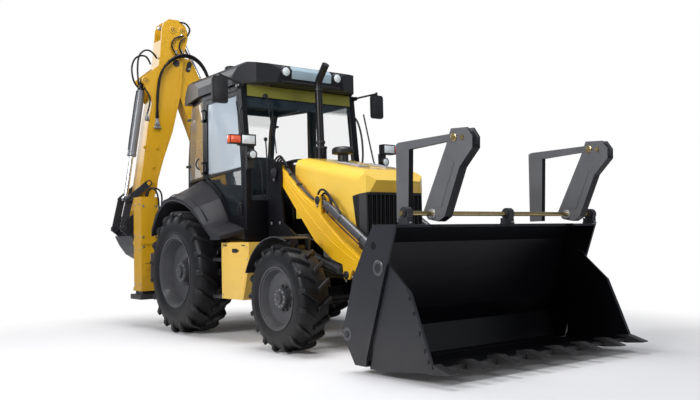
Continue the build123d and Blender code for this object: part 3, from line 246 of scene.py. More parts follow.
def dress(names, material):
    """Put one finish on whole CAD pieces."""
    for name in names:
        mesh = nodes[name].data
        mesh.materials.clear()
        mesh.materials.append(material)
        mesh.polygons.foreach_set("material_index", [0] * len(mesh.polygons))


yellow_paint = finish_of("yellow enamel", (0.86, 0.49, 0.014), (0.78, 0.41, 0.011), 0.32, coat=0.22,
                         depth=0.0003)
black_paint = finish_of("satin black paint", (0.004, 0.004, 0.006), (0.009, 0.009, 0.012), 0.30,
                        dust_amount=0.06, sheen=0.25)
dress(["loader_arms"], yellow_paint)
dress(["loader_towers"], black_paint)


# ---- Bolts and pin heads -----------------------------------------------------------------------------------
# Plated hex bolts on washers hold the wheels, panels, lamps and wear edges, and turned pins carry the arms.
# One tree sets a bolt on each point of a seed mesh, turned to the direction that the point faces.
def new_tree(name, inputs):
    """A Geometry Nodes tree with a geometry input, named value inputs and a material."""
    tree = bpy.data.node_groups.new(name, "GeometryNodeTree")
    tree.interface.new_socket("Geometry", in_out="INPUT", socket_type="NodeSocketGeometry")
    for label, kind, default in inputs:
        tree.interface.new_socket(label, in_out="INPUT", socket_type=kind).default_value = default
    tree.interface.new_socket("Material", in_out="INPUT", socket_type="NodeSocketMaterial")
    tree.interface.new_socket("Geometry", in_out="OUTPUT", socket_type="NodeSocketGeometry")
    return tree, tree.nodes.new("NodeGroupInput"), tree.nodes.new("NodeGroupOutput")


def end_tree(tree, given, result, instances):
    """Realize the instances, give them their material and put them out."""
    real = add_node(tree, "GeometryNodeRealizeInstances", geometry=instances)
    painted = add_node(tree, "GeometryNodeSetMaterial", geometry=real, material=given.outputs["Material"])
    tree.links.new(painted.outputs[0], result.inputs[0])


def applied(piece):
    """The mesh that a piece's modifiers make, which are then removed."""
    solid = bpy.data.meshes.new_from_object(piece.evaluated_get(bpy.context.evaluated_depsgraph_get()))
    piece.modifiers.clear()
    return solid


def grown(name, seed, tree, body, slot, **values):
    """The plain piece that a Geometry Nodes tree makes from a seed mesh, riding on its body."""
    piece = bpy.data.objects.new(name, seed)
    scene.collection.objects.link(piece)
    modifier = piece.modifiers.new("repeat", "NODES")
    modifier.node_group = tree
    for item in tree.interface.items_tree:
        key = item.name.lower().replace(" ", "_")
        if item.in_out == "INPUT" and key in values:
            modifier[item.identifier] = values[key]
    piece.data = applied(piece)
    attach(piece, body)


bolt_tree, given, result = new_tree("bolts", [("Radius", FLOAT, 0.012), ("Height", FLOAT, 0.01)])
wider = add_node(bolt_tree, "ShaderNodeMath", {0: given.outputs["Radius"], 1: 1.45}, operation="MULTIPLY")
thinner = add_node(bolt_tree, "ShaderNodeMath", {0: given.outputs["Height"], 1: 0.6}, operation="MULTIPLY")
taller = add_node(bolt_tree, "ShaderNodeMath", {0: given.outputs["Height"], 1: 2.0}, operation="MULTIPLY")
head = add_node(bolt_tree, "GeometryNodeMeshCylinder", vertices=6, radius=given.outputs["Radius"],
                depth=taller)
washer = add_node(bolt_tree, "GeometryNodeMeshCylinder", vertices=14, radius=wider, depth=thinner)
pair = add_node(bolt_tree, "GeometryNodeJoinGeometry")
for solid in (head, washer):
    bolt_tree.links.new(solid.outputs["Mesh"], pair.inputs[0])
facing = add_node(bolt_tree, "GeometryNodeInputNamedAttribute", data_type="FLOAT_VECTOR", name="facing")
aim = add_node(bolt_tree, "FunctionNodeAlignRotationToVector", axis="Z", vector=facing)
spread = add_node(bolt_tree, "GeometryNodeInstanceOnPoints", points=given.outputs["Geometry"], instance=pair,
                  rotation=aim)
end_tree(bolt_tree, given, result, spread)

plated = finish_of("zinc plated steel", (0.50, 0.50, 0.50), (0.36, 0.36, 0.37), 0.34, metallic=0.9,
                   dust_amount=0.15, scale=20.0, depth=0.0002)
black_bolt = finish_of("blackened bolt", (0.03, 0.03, 0.034), (0.05, 0.05, 0.055), 0.45, metallic=0.5,
                       scale=20.0)


def bolts(name, body, slot, heads, radius, height, material):
    """Bolt heads on one body, each given by its place and the way it faces."""
    seed = bpy.data.meshes.new(name)
    seed.from_pydata([place for place, _ in heads], [], [])
    facing = seed.attributes.new("facing", "FLOAT_VECTOR", "POINT")
    facing.data.foreach_set("vector", [value for _, way in heads for value in way])
    grown(name, seed, bolt_tree, body, slot, radius=radius, height=height, material=material)


def at(station, y, z):
    """A point given by its station ahead of the rear axle, in metres."""
    return Vector((rear_axle_x + station, y, z))


def join(whole, part, material=0):
    """Add a working part to a working whole, with the number of its finish."""
    for face in part.faces:
        face.material_index = material
    loose = bpy.data.meshes.new("loose")
    part.to_mesh(loose)
    part.free()
    whole.from_mesh(loose)
    bpy.data.meshes.remove(loose)


def block(whole, low, high, edge=0.004, material=0):
    """A block with eased edges between two opposite corners."""
    part = bmesh.new()
    size = [abs(b - a) for a, b in zip(low, high)]
    middle = (Vector(low) + Vector(high)) / 2
    bmesh.ops.create_cube(part, size=1, matrix=Matrix.Translation(middle) @ Matrix.Diagonal((*size, 1)))
    bmesh.ops.bevel(part, geom=part.edges[:], offset=min(edge, min(size) * 0.45), segments=2, profile=0.5,
                    affect="EDGES")
    join(whole, part, material)


def turned(whole, foot, direction, profile, sides=24, material=0, hollow=False):
    """A turned form: pairs of distance along the axis and radius, with flat ends unless it is hollow."""
    part = bmesh.new()
    first, last = profile[0], profile[-1]
    if not hollow:
        profile = [(first[0], 0)] * (first[1] > 0) + profile + [(last[0], 0)] * (last[1] > 0)
    turn = Vector(direction).to_track_quat("Z", "Y").to_matrix()
    rings = []
    for along, radius in profile:
        count = 1 if radius < 1e-6 else sides
        angles = [2 * math.pi * n / sides for n in range(count)]
        rings.append([part.verts.new(Vector(foot) + turn @ Vector((radius * math.cos(a), radius * math.sin(a),
                                                                   along))) for a in angles])
    for low, high in zip(rings, rings[1:]):
        for n in range(sides):
            m = (n + 1) % sides
            corners = [low[n % len(low)], low[m % len(low)], high[m % len(high)], high[n % len(high)]]
            part.faces.new(list(dict.fromkeys(corners)))
    join(whole, part, material)


def finish(name, whole, body, slot, *materials, smooth=32):
    """A working mesh made into a finished piece, which rides on its body if it has just one."""
    bmesh.ops.remove_doubles(whole, verts=whole.verts, dist=1e-6)
    bmesh.ops.recalc_face_normals(whole, faces=whole.faces)
    mesh = bpy.data.meshes.new(name)
    whole.to_mesh(mesh)
    whole.free()
    for material in materials:
        mesh.materials.append(material)
    mesh.polygons.foreach_set("use_smooth", [True] * len(mesh.polygons))
    mesh.set_sharp_from_angle(angle=math.radians(smooth))
    piece = bpy.data.objects.new(name, mesh)
    scene.collection.objects.link(piece)
    if body:
        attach(piece, body)
    return piece


# the loader's pins: body, station, height, half width at the outer face, radius
loader_pins = [
    ("machine", 1.385, 1.720, 0.572, 0.052), ("machine", 1.450, 1.000, 0.558, 0.038),
    ("loader_arms", 2.100, 1.400, 0.530, 0.040), ("loader_arms", 2.540, 0.690, 0.530, 0.038),
    ("loader_bucket", 3.385, 0.610, 0.556, 0.040), ("loader_bucket", 3.285, 0.330, 0.556, 0.046),
]
for body in ("machine", "loader_arms", "loader_bucket"):
    heads, keepers = bmesh.new(), []
    for owner, station, z, y, radius in loader_pins:
        if owner == body:
            for side in (1, -1):
                turned(heads, at(station, side * y, z), (0, side, 0),
                       [(-0.004, radius), (0.006, radius), (0.009, radius * 0.9), (0.009, radius * 0.45),
                        (0.014, radius * 0.4)], sides=28)
                block(heads, at(station - radius * 0.35, side * y, z - radius * 1.7),
                      at(station + radius * 0.35, side * (y + 0.006), z - radius * 0.6), 0.002)
                keepers.append((at(station, side * (y + 0.006), z - radius * 1.35), (0, side, 0)))
    finish(f"pin_heads_{body}", heads, body, "grey", black_bolt)
    bolts(f"pin_keeper_bolts_{body}", body, "zinc", keepers, 0.009, 0.006, plated)

# ---- Tyres -------------------------------------------------------------------------------------------------
# Ribbed traction tyres in carbon-black rubber, moulded with a rim guard, a bulged wall and deep slanted lugs
# whose outer ends lead when the wheel rolls ahead. The tread is one outer and one inner lug, repeated round
# the axle.
COUNT, VECTOR = "NodeSocketInt", "NodeSocketVector"


def ring_tree(name, axis):
    """A tree that repeats its seed round a middle, about one axis."""
    tree, given, result = new_tree(name, [("Count", COUNT, 15), ("Middle", VECTOR, (0, 0, 0))])
    spots = add_node(tree, "GeometryNodePoints", count=given.outputs["Count"],
                     position=given.outputs["Middle"])
    step = add_node(tree, "ShaderNodeMath", {0: 2 * math.pi, 1: given.outputs["Count"]}, operation="DIVIDE")
    index = add_node(tree, "GeometryNodeInputIndex")
    turn_by = add_node(tree, "ShaderNodeMath", {0: index, 1: step}, operation="MULTIPLY")
    about = add_node(tree, "ShaderNodeCombineXYZ", **{axis: turn_by})
    spread = add_node(tree, "GeometryNodeInstanceOnPoints", points=spots, instance=given.outputs["Geometry"],
                      rotation=about)
    end_tree(tree, given, result, spread)
    return tree


rubber = finish_of("tyre rubber", (0.0045, 0.0045, 0.006), (0.012, 0.012, 0.015), 0.46, scale=6.0,
                   depth=0.0010, grain=140.0, dust_amount=0.10, dust_height=0.40, sheen=0.28)
lug_tree = ring_tree("tread", "y")


def skin(whole, rings):
    """Faces from each closed ring of corners to the next."""
    for first, second in zip(rings, rings[1:]):
        for n in range(len(first)):
            m = (n + 1) % len(first)
            whole.faces.new((first[n], first[m], second[m], second[n]))


def ring_about(whole, middle, radius, count):
    """Corners on a circle about an axle."""
    return [whole.verts.new((middle.x + radius * math.cos(a), middle.y, middle.z + radius * math.sin(a)))
            for a in (2 * math.pi * n / count for n in range(count))]


def lug_pair(radius, half, height, pitch, slant):
    """One outer and one inner lug about the axle, the inner one half a pitch on."""
    whole = bmesh.new()
    wide, narrow = (0.070, 0.044) if radius > 0.6 else (0.058, 0.036)
    for row in (1, -1):
        offset = 0 if row == 1 else pitch / 2
        rows = []
        # shares of the half width at which the lug has a section, sinking at the shoulder
        for share in (0.03, 0.30, 0.62, 0.84, 0.97):
            across = row * half * share
            top = radius - (0 if share < 0.8 else height * (1.0 if share < 0.9 else 3.6) * (share - 0.7))
            lean = offset + slant * (half * min(share, 0.85) - half * 0.47) / radius
            foot = radius - height * (1.35 if share < 0.9 else 3.4)
            corners = [(-wide / 2, foot), (-narrow / 2, top), (narrow / 2, top), (wide / 2, foot)]
            rows.append([whole.verts.new((r * math.sin(lean + along / radius), across,
                                          -r * math.cos(lean + along / radius))) for along, r in corners])
        skin(whole, rows)
        whole.faces.new(rows[0][::-1])
        whole.faces.new(rows[-1])
    bmesh.ops.recalc_face_normals(whole, faces=whole.faces)
    bmesh.ops.bevel(whole, geom=whole.edges[:], offset=0.004, segments=1, affect="EDGES")
    mesh = bpy.data.meshes.new("lugs")
    whole.to_mesh(mesh)
    whole.free()
    return mesh


lug_slant = 0.72
both_sides = ((1, "left"), (-1, "right"))
wheel_sets = []
for end, rim, height, count in (("rear", 0.381, 0.038, 19), ("front", 0.277, 0.028, 17)):
    for side, name in both_sides:
        low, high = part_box(f"{end}_{name}_tyre")
        middle, half, radius = (low + high) / 2, (high.y - low.y) / 2, (high.z - low.z) / 2
        wheel_sets.append((end, name, side, middle, radius, half, rim, height, count))
for end, name, side, middle, radius, half, rim, height, count in wheel_sets:
    wall = radius - height - rim
    carcass = bmesh.new()
    # share of the half width, share of the wall from the rim to the crown
    section = [(-0.80, 0.0), (-0.90, 0.05), (-0.93, 0.12), (-0.90, 0.16), (-0.96, 0.26), (-0.985, 0.42),
               (-0.975, 0.60), (-0.93, 0.76), (-0.87, 0.88), (-0.72, 0.955), (-0.40, 0.99), (0.0, 1.0)]
    section += [(-a, b) for a, b in reversed(section[:-1])]
    rings = [ring_about(carcass, middle + Vector((0, half * across, 0)), rim + wall * up, 88)
             for across, up in section]
    skin(carcass, rings + rings[:1])
    wheel = f"{end}_wheel_{name}"
    tyre = finish(f"{end}_{name}_tyre_body", carcass, wheel, "tyre", rubber, smooth=40)
    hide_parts(f"{end}_{name}_tyre")
    seed = lug_pair(radius, half, height, 2 * math.pi / count, lug_slant)
    grown(f"{end}_{name}_tread", seed, lug_tree, wheel, "tyre", count=count, middle=tuple(middle),
          material=rubber)


# ---- Rims --------------------------------------------------------------------------------------------------
# Pressed steel rims painted dark grey: a rolled flange holds the bead, and a ring of nuts clamps the disc to
# the hub, whose planetary cover has its own small bolts and a plug.
def ring_of_places(middle, way, radius, count, turn=0.0):
    """Places and facings for bolts on a circle."""
    frame_of_ring = Vector(way).to_track_quat("Z", "Y").to_matrix()
    return [(Vector(middle) + frame_of_ring @ Vector((radius * math.cos(a), radius * math.sin(a), 0)), way)
            for a in (turn + 2 * math.pi * n / count for n in range(count))]


rim_paint = finish_of("rim paint", (0.062, 0.063, 0.070), (0.040, 0.040, 0.047), 0.40, dust_amount=0.12,
                      dust_height=0.8, coat=0.1, sheen=0.28)
dress([f"{end}_{side}_rim" for end in ("rear", "front") for side in ("left", "right")], rim_paint)
for end, name, side, middle, _, half, rim, *_ in wheel_sets:
    rear = end == "rear"
    disc = side * (0.890 if rear else 0.964)
    hub = disc + side * (0.0855 if rear else 0.054)
    nose = disc + side * (0.1178 if rear else 0.0744)
    wheel = f"{end}_wheel_{name}"
    flange = bmesh.new()
    # share of the half width, share of the rim's radius
    edge_roll = [(0.80, 0.992), (0.90, 1.012), (0.925, 1.045), (0.905, 1.055), (0.875, 1.035), (0.80, 1.012)]
    for way in (1, -1):
        rings = [ring_about(flange, middle + Vector((0, way * half * y, 0)), rim * r, 72)
                 for y, r in edge_roll]
        skin(flange, rings + rings[:1])
    place = Vector((middle.x, 0, middle.z))
    hub_radius = 0.120 if rear else 0.095
    turned(flange, place + Vector((0, hub, 0)), (0, side, 0),
           [(-0.002, hub_radius * 0.96), (0.005, hub_radius * 0.94), (0.008, hub_radius * 0.62)],
           sides=36)
    turned(flange, place + Vector((0, nose, 0)), (0, side, 0),
           [(-0.002, hub_radius * 0.5), (0.006, hub_radius * 0.46), (0.009, hub_radius * 0.3)],
           sides=28)
    turned(flange, place + Vector((0, nose + side * 0.008, 0)), (0, side, 0),
           [(0, 0.014), (0.008, 0.013)], sides=6)
    finish(f"{end}_{name}_rim_flange", flange, wheel, "rim", rim_paint)
    studs = ring_of_places(place + Vector((0, disc, 0)), (0, side, 0), hub_radius * 1.17, 8 if rear else 10)
    bolts(f"{end}_{name}_wheel_nuts", wheel, "zinc", studs, 0.013, 0.011, black_bolt)
    bolt_face = place + Vector((0, hub + side * 0.004, 0))
    cover = ring_of_places(bolt_face, (0, side, 0), hub_radius * 0.80, 10, 0.2)
    bolts(f"{end}_{name}_hub_bolts", wheel, "zinc", cover, 0.008, 0.005, plated)


# ---- Roof, visor strip and roof lamps ----------------------------------------------------------------------
# The roof is one grained moulding with a vent boss on top. Its brow carries two clear work lamps and a pale
# panel between them. An olive sun strip between dark edges lies on the windscreen under the brow.
def plate(whole, outline, across, start, end, edge=0.002, material=0):
    """A flat plate: its outline in two directions, and its two faces in the third, with stations along x."""
    part = bmesh.new()
    order = {"x": lambda a, b, c: (c, a, b), "y": lambda a, b, c: (a, c, b)}[across]
    low = [part.verts.new(at(*order(a, b, min(start, end)))) for a, b in outline]
    high = [part.verts.new(at(*order(a, b, max(start, end)))) for a, b in outline]
    part.faces.new(low)
    part.faces.new(high[::-1])
    for n in range(len(outline)):
        m = (n + 1) % len(outline)
        part.faces.new((low[n], high[n], high[m], low[m]))
    if edge:
        bmesh.ops.bevel(part, geom=part.edges[:], offset=edge, segments=1, affect="EDGES")
    join(whole, part, material)


roof_plastic = finish_of("roof moulding", (0.010, 0.010, 0.014), (0.018, 0.018, 0.024), 0.36,
                         dust_amount=0.04, sheen=0.28)
pale_panel = finish_of("pale roof panel", (0.34, 0.45, 0.53), (0.28, 0.38, 0.46), 0.32, amount=0.3,
                       dust_amount=0.1)
strip_edge = finish_of("sun strip edge", (0.010, 0.012, 0.016), (0.02, 0.022, 0.03), 0.3, dust_amount=0.02)
strip_olive = finish_of("olive sun strip", (0.30, 0.30, 0.045), (0.20, 0.21, 0.035), 0.4, dust_amount=0.02)
dress(["cab_roof"], roof_plastic)


def clear_lens(name, color, *, glow, ribs):
    """A moulded lamp lens: fluted and glossy, with a faint painted glow in its own tint for the bright bowl
    behind it.
    """
    material, tree = new_material(name)
    tint = add_node(tree, "ShaderNodeGroup", group=mottle, color=(*color, 1),
                    second_color=(*(c * 0.62 for c in color), 1), scale=26.0, amount=0.6)
    place = add_node(tree, "ShaderNodeTexCoord")
    flutes = add_node(tree, "ShaderNodeTexWave", vector=place.outputs["Object"], scale=ribs,
                      bands_direction="Y")
    bump = add_node(tree, "ShaderNodeBump", distance=0.0008, height=flutes.outputs["Fac"])
    shader = add_node(tree, "ShaderNodeBsdfPrincipled", base_color=tint, emission_color=tint,
                      emission_strength=glow, roughness=0.08, coat_weight=1.0, coat_roughness=0.03,
                      normal=bump)
    add_node(tree, "ShaderNodeOutputMaterial", surface=shader)
    return material


# The glow is painted light: the lenses give off a little light in place of their bright bowls.
white_lens = clear_lens("clear lamp lens", (0.72, 0.78, 0.82), glow=0.12, ribs=30.0)
indicator_lens = clear_lens("orange lens", (0.80, 0.10, 0.025), glow=0.18, ribs=40.0)
black_plastic = finish_of("black plastic", (0.007, 0.007, 0.009), (0.013, 0.013, 0.015), 0.42, depth=0.0006,
                          dust_amount=0.03)
brow, lamp_side, lamp_height = 1.295, 0.341, 2.826
fittings = bmesh.new()
for side in (1, -1):
    turned(fittings, at(brow - 0.012, side * lamp_side, lamp_height), (1, 0, 0),
           [(-0.03, 0.062), (0.006, 0.062), (0.012, 0.057), (0.012, 0.049), (0.004, 0.046)],
           sides=36)
visor = [(1.02, 2.705), (1.282, 2.705), (1.288, 2.722), (1.282, 2.732), (1.02, 2.732)]
plate(fittings, visor, "y", -0.385, 0.385, 0.003)
finish("roof_trim", fittings, "machine", "roof", black_plastic)
lenses = bmesh.new()
for side in (1, -1):
    turned(lenses, at(brow - 0.010, side * lamp_side, lamp_height), (1, 0, 0),
           [(0, 0.048), (0.010, 0.046), (0.018, 0.032), (0.021, 0.014), (0.0215, 0)], sides=32)
finish("roof_lamp_lenses", lenses, "machine", "glass", white_lens)
panel = bmesh.new()
brow_line = [(1.2790, 2.760), (1.2920, 2.850), (1.2480, 2.9010), (1.2445, 2.8975), (1.2850, 2.848),
             (1.2740, 2.760)]
plate(panel, brow_line, "y", -0.262, 0.262, 0.0015)
finish("roof_front_panel", panel, "machine", "roof", pale_panel)
strip = bmesh.new()
plate(strip, [(1.058, 2.572), (1.052, 2.698), (1.047, 2.698), (1.053, 2.572)], "y", -0.690, 0.690, 0.001)
for y in (-0.694, 0.689):
    plate(strip, [(1.0600, 2.570), (1.0540, 2.699), (1.0480, 2.699), (1.0540, 2.570)], "y",
          y, y + 0.005, 0, material=1)
finish("sun_strip", strip, "machine", "roof", strip_olive, strip_edge)


# ---- Lamps and mirrors -------------------------------------------------------------------------------------
# Road lamps stand on posts beside the windscreen: a clear headlamp, an orange indicator that also shows at
# the side, and a round work lamp below. The mirrors hang on bent arms and face back to the driver.
def tube(whole, route, radius, material=0, sides=2):
    """A bent tube or hose along a smooth line through its bends."""
    line = bpy.data.curves.new("route", "CURVE")
    line.dimensions, line.bevel_depth, line.bevel_resolution = "3D", radius, sides
    line.resolution_u, line.use_fill_caps = 5, True
    spline = line.splines.new("NURBS")
    spline.points.add(len(route) - 1)
    for point, place in zip(spline.points, route):
        point.co = (*place, 1)
    spline.order_u, spline.use_endpoint_u = 3, True
    holder = bpy.data.objects.new("route", line)
    bent = bpy.data.meshes.new_from_object(holder)
    part = bmesh.new()
    part.from_mesh(bent)
    join(whole, part, material)
    bpy.data.objects.remove(holder)
    bpy.data.curves.remove(line)
    bpy.data.meshes.remove(bent)


def on_side(side, *places):
    """Points on one side of the machine, each by its station, how far out it is and its height."""
    return [at(station, side * out, z) for station, out, z in places]


silvered = finish_of("mirror glass", (0.72, 0.76, 0.80), (0.66, 0.70, 0.75), 0.04, metallic=1.0,
                     dust_amount=0.02, depth=0.00002)
dress(["lamps"], black_plastic)
clear, indicators, mirrors, surrounds = bmesh.new(), bmesh.new(), bmesh.new(), bmesh.new()
for side in (1, -1):
    block(clear, at(1.478, side * 0.852, 1.994), at(1.487, side * 0.996, 2.078), 0.008)
    block(indicators, at(1.474, side * 1.014, 1.999), at(1.484, side * 1.122, 2.071), 0.006)
    block(indicators, at(1.420, side * 1.1265, 1.999), at(1.474, side * 1.1325, 2.071), 0.004)
    turned(surrounds, at(1.462, side * 0.870, 1.890), (1, 0, 0),
           [(0, 0.050), (0.012, 0.050), (0.016, 0.045), (0.016, 0.040), (0.008, 0.038)], sides=32)
    turned(clear, at(1.469, side * 0.870, 1.890), (1, 0, 0),
           [(0, 0.038), (0.008, 0.035), (0.013, 0.018), (0.014, 0)], sides=28)
    block(mirrors, at(1.1035, side * 0.968, 2.462), at(1.1055, side * 1.128, 2.718), 0.001)
    block(surrounds, at(1.133, side * 0.972, 2.470), at(1.139, side * 1.124, 2.710), 0.012)
    tube(surrounds, on_side(side, (1.120, 1.045, 2.768), (1.120, 1.045, 2.60), (1.128, 1.045, 2.50)), 0.008)
    tube(surrounds, on_side(side, (1.112, 0.850, 2.485), (1.253, 0.850, 1.997), (1.300, 0.850, 1.850),
                            (1.400, 0.860, 1.830)), 0.009)
    block(surrounds, at(0.996, side * 0.778, 2.655), at(1.074, side * 0.792, 2.690), 0.003)
finish("lamp_lenses", clear, "machine", "glass", white_lens)
finish("indicator_lenses", indicators, "machine", "glass", indicator_lens)
finish("mirror_glass", mirrors, "machine", "glass", silvered)
finish("lamp_rims_and_rods", surrounds, "machine", "black_plastic", black_plastic)
bracket_bolts = [(at(s, side * 0.792, 2.672), (0, side, 0)) for side in (1, -1) for s in (1.008, 1.062)]
bolts("mirror_bracket_bolts", "machine", "zinc", bracket_bolts, 0.007, 0.005, plated)


# ---- Hood, louvres and air cleaner -------------------------------------------------------------------------
# The hood is pressed steel in gloss yellow with open slots in its top, each pair under a grey grid. Its
# yellow is paler than the arms' yellow as a painted highlight. The air cleaner's ribbed bowl is black
# plastic.
def repaint(name, material, where):
    """Put another finish on the part of a CAD piece that a test picks by the middle of each face."""
    mesh = nodes[name].data
    mesh.materials.append(material)
    number = len(mesh.materials) - 1
    for face in mesh.polygons:
        if where(face.center - Vector((rear_axle_x, 0, 0)), face.normal):
            face.material_index = number


# Painted highlight: a paler, brighter copy of the yellow enamel, put on the hood.
hood_paint_painted_highlight = finish_of("hood enamel painted highlight", (0.93, 0.62, 0.085), (0.88, 0.54, 0.06), 0.24, coat=0.6, depth=0.0003,
                       dust_amount=0.12)
dress(["hood"], hood_paint_painted_highlight)
cleaner_station, cleaner_half, pipe_radius = 1.822, 0.125, 0.060


def on_cleaner(c, n):
    """Whether a face of the hood piece is the air cleaner bowl or the pipe under it."""
    ahead_by, across = c.x - cleaner_station, c.y
    in_bowl = c.z > 1.88 and max(abs(ahead_by), abs(across)) < cleaner_half
    return in_bowl or (c.z > 1.835 and math.hypot(ahead_by, across) < pipe_radius)


repaint("hood", black_plastic, on_cleaner)
grid_grey = finish_of("louvre grid", (0.46, 0.46, 0.53), (0.36, 0.36, 0.42), 0.5, metallic=0.0,
                      dust_amount=0.2)
hood_bend = 2.140


def hood_top_at(station):
    """The height of the hood's top along its middle, behind and ahead of its bend."""
    if station > hood_bend:
        return 1.765 - (station - hood_bend) * 0.093 / 0.420
    return 1.868 - (station - 1.600) * 0.103 / 0.540


slat_tree, given, result = new_tree("slats", [("Count", COUNT, 10), ("Step", VECTOR, (0, 0, 0))])
places = add_node(slat_tree, "GeometryNodeMeshLine", count=given.outputs["Count"],
                  offset=given.outputs["Step"])
row = add_node(slat_tree, "GeometryNodeInstanceOnPoints", points=places, instance=given.outputs["Geometry"])
end_tree(slat_tree, given, result, row)


def repeated(name, body, slot, whole, count, step, material):
    """One slat, rib or bar repeated along a straight step."""
    bmesh.ops.recalc_face_normals(whole, faces=whole.faces)
    mesh = bpy.data.meshes.new(name)
    whole.to_mesh(mesh)
    whole.free()
    grown(name, mesh, slat_tree, body, slot, count=count, step=step, material=material)


grid_start, grid_end, slat_gap, slat_fall = 2.010, 2.385, 0.0145, 0.2065
for side, name in both_sides:
    border = bmesh.new()
    for y0, y1 in ((0.108, 0.122), (0.212, 0.226)):
        for a, b in ((grid_start, hood_bend), (hood_bend, grid_end)):
            low_z, high_z = hood_top_at(a), hood_top_at(b)
            outline = [(a, low_z - 0.002), (a, low_z + 0.008), (b, high_z + 0.008), (b, high_z - 0.002)]
            plate(border, outline, "y", side * y0, side * y1, 0.001)
    for s in (grid_start, grid_end - 0.014):
        block(border, at(s, side * 0.108, hood_top_at(s) - 0.004),
              at(s + 0.014, side * 0.226, hood_top_at(s) + 0.007), 0.001)
    finish(f"louvre_frame_{name}", border, "hood", "grey", grid_grey)
    slat = bmesh.new()
    block(slat, at(grid_start + 0.02, side * 0.120, hood_top_at(grid_start) - 0.001),
          at(grid_start + 0.024, side * 0.214, hood_top_at(grid_start) + 0.005), 0.0008)
    repeated(f"louvre_slats_{name}", "hood", "grey", slat, 24, (slat_gap, 0, -slat_gap * slat_fall),
             grid_grey)
vane = bmesh.new()
block(vane, (0.104, -0.0015, 1.903), (0.1165, 0.0015, 1.950), 0.0006)
mesh = bpy.data.meshes.new("vane")
vane.to_mesh(mesh)
vane.free()
grown("air_cleaner_ribs", mesh, ring_tree("ring of ribs", "z"), "hood", "black_plastic", count=44,
      middle=tuple(at(cleaner_station, 0, 0)), material=black_plastic)

# ---- Grille ------------------------------------------------------------------------------------------------
# A black moulded grille under the hood's nose: upright ribs between the bars that the casting has, and a mesh
# behind them that keeps chaff off the radiator.
dress(["grille"], black_plastic)
rib = bmesh.new()
plate(rib, [(2.612, 0.935), (2.640, 1.120), (2.648, 1.410), (2.640, 1.410), (2.600, 0.935)],
      "y", -0.3205, -0.3155, 0.001)
repeated("grille_ribs", "hood", "black_plastic", rib, 13, (0, 0.052, 0), black_plastic)
rung = bmesh.new()
block(rung, at(2.598, -0.335, 0.945), at(2.604, 0.327, 0.949), 0.0008)
repeated("grille_mesh", "hood", "black_plastic", rung, 38, (0, 0, 0.0125), black_plastic)

# ---- Exhaust stack -----------------------------------------------------------------------------------------
# A blackened steel tailpipe that leans back as it rises, clamped above its silencer's heat shroud. Each clamp
# is a band with a bolted ear.
stack_black = finish_of("heat-proof black", (0.003, 0.003, 0.004), (0.009, 0.009, 0.011), 0.36, scale=5.0,
                        dust_amount=0.02, sheen=0.28)
dress(["exhaust_stack"], stack_black)
clamps = bmesh.new()
for z, radius, height in ((1.995, 0.066, 0.018), (2.045, 0.046, 0.030), (2.62, 0.0435, 0.020)):
    lean = 0 if z < 2.0 else 0.028 * (z - 2.0) / 0.72
    turned(clamps, at(1.470 - lean, -0.030, z), (0, 0, 1),
           [(0, radius), (0.002, radius + 0.003), (height - 0.002, radius + 0.003), (height, radius)],
           sides=36)
    block(clamps, at(1.470 - lean + radius, -0.040, z + 0.003),
          at(1.470 - lean + radius + 0.022, -0.020, z + height - 0.003), 0.002)
finish("exhaust_clamps", clamps, "machine", "grey", black_bolt)

# ---- Side boxes and steps ----------------------------------------------------------------------------------
# Pressed steel tool and battery boxes hang between the wheels, in a paler, duller yellow than the arms. Each
# has a hinged lid with a latch; the steps beside them are punched grip plate.
box_paint = finish_of("pale yellow enamel", (0.82, 0.53, 0.10), (0.72, 0.43, 0.06), 0.40, coat=0.1,
                      dust_amount=0.35)
dress(["side_boxes"], box_paint)
repaint("side_boxes", black_paint, lambda c, n: c.x < 0.930)
grey_paint = finish_of("dark grey paint", (0.024, 0.024, 0.029), (0.036, 0.037, 0.043), 0.42,
                       dust_amount=0.12, sheen=0.35)
lids, latches, treads, box_screws = bmesh.new(), bmesh.new(), bmesh.new(), []
for side in (1, -1):
    wall, proud = side * 0.950, side * 0.954
    outline = [(0.950, 0.975), (1.480, 0.975), (1.480, 0.806), (1.358, 0.455), (0.950, 0.455)]
    plate(lids, outline, "y", wall - side * 0.001, proud, 0.0018)
    raised = [(0.990, 0.880), (1.420, 0.880), (1.420, 0.800), (1.330, 0.540), (0.990, 0.540)]
    plate(lids, raised, "y", proud - side * 0.001, proud + side * 0.002, 0.0015)
    block(latches, at(1.180, proud, 0.905), at(1.270, proud + side * 0.012, 0.945), 0.004)
    turned(latches, at(1.290, proud, 0.925), (0, side, 0), [(0, 0.013), (0.008, 0.012)], sides=16)
    for station in (1.02, 1.40):
        tube(latches, [at(station - 0.03, proud + side * 0.004, 0.978),
                       at(station + 0.03, proud + side * 0.004, 0.978)], 0.006)
    corners = ((0.965, 0.47), (0.965, 0.96), (1.465, 0.96), (1.465, 0.84))
    box_screws += [(at(s, proud, z), (0, side, 0)) for s, z in corners]
    for low in (0.454, 0.844):
        for row in range(5):
            for column in range(5):
                foot = at(0.738 + 0.040 * row, side * (0.745 + 0.043 * column), low - 0.001)
                turned(treads, foot, (0, 0, 1), [(0, 0.011), (0.004, 0.008), (0.004, 0.004), (0.002, 0)],
                       sides=8)
        block(treads, at(0.700, side * 0.926, low - 0.030), at(0.934, side * 0.934, low + 0.006), 0.002)
finish("side_box_lids", lids, "machine", "box_yellow", box_paint)
finish("side_box_latches", latches, "machine", "zinc", black_bolt)
finish("step_treads", treads, "machine", "grey", grey_paint)
bolts("side_box_screws", "machine", "zinc", box_screws, 0.007, 0.004, plated)

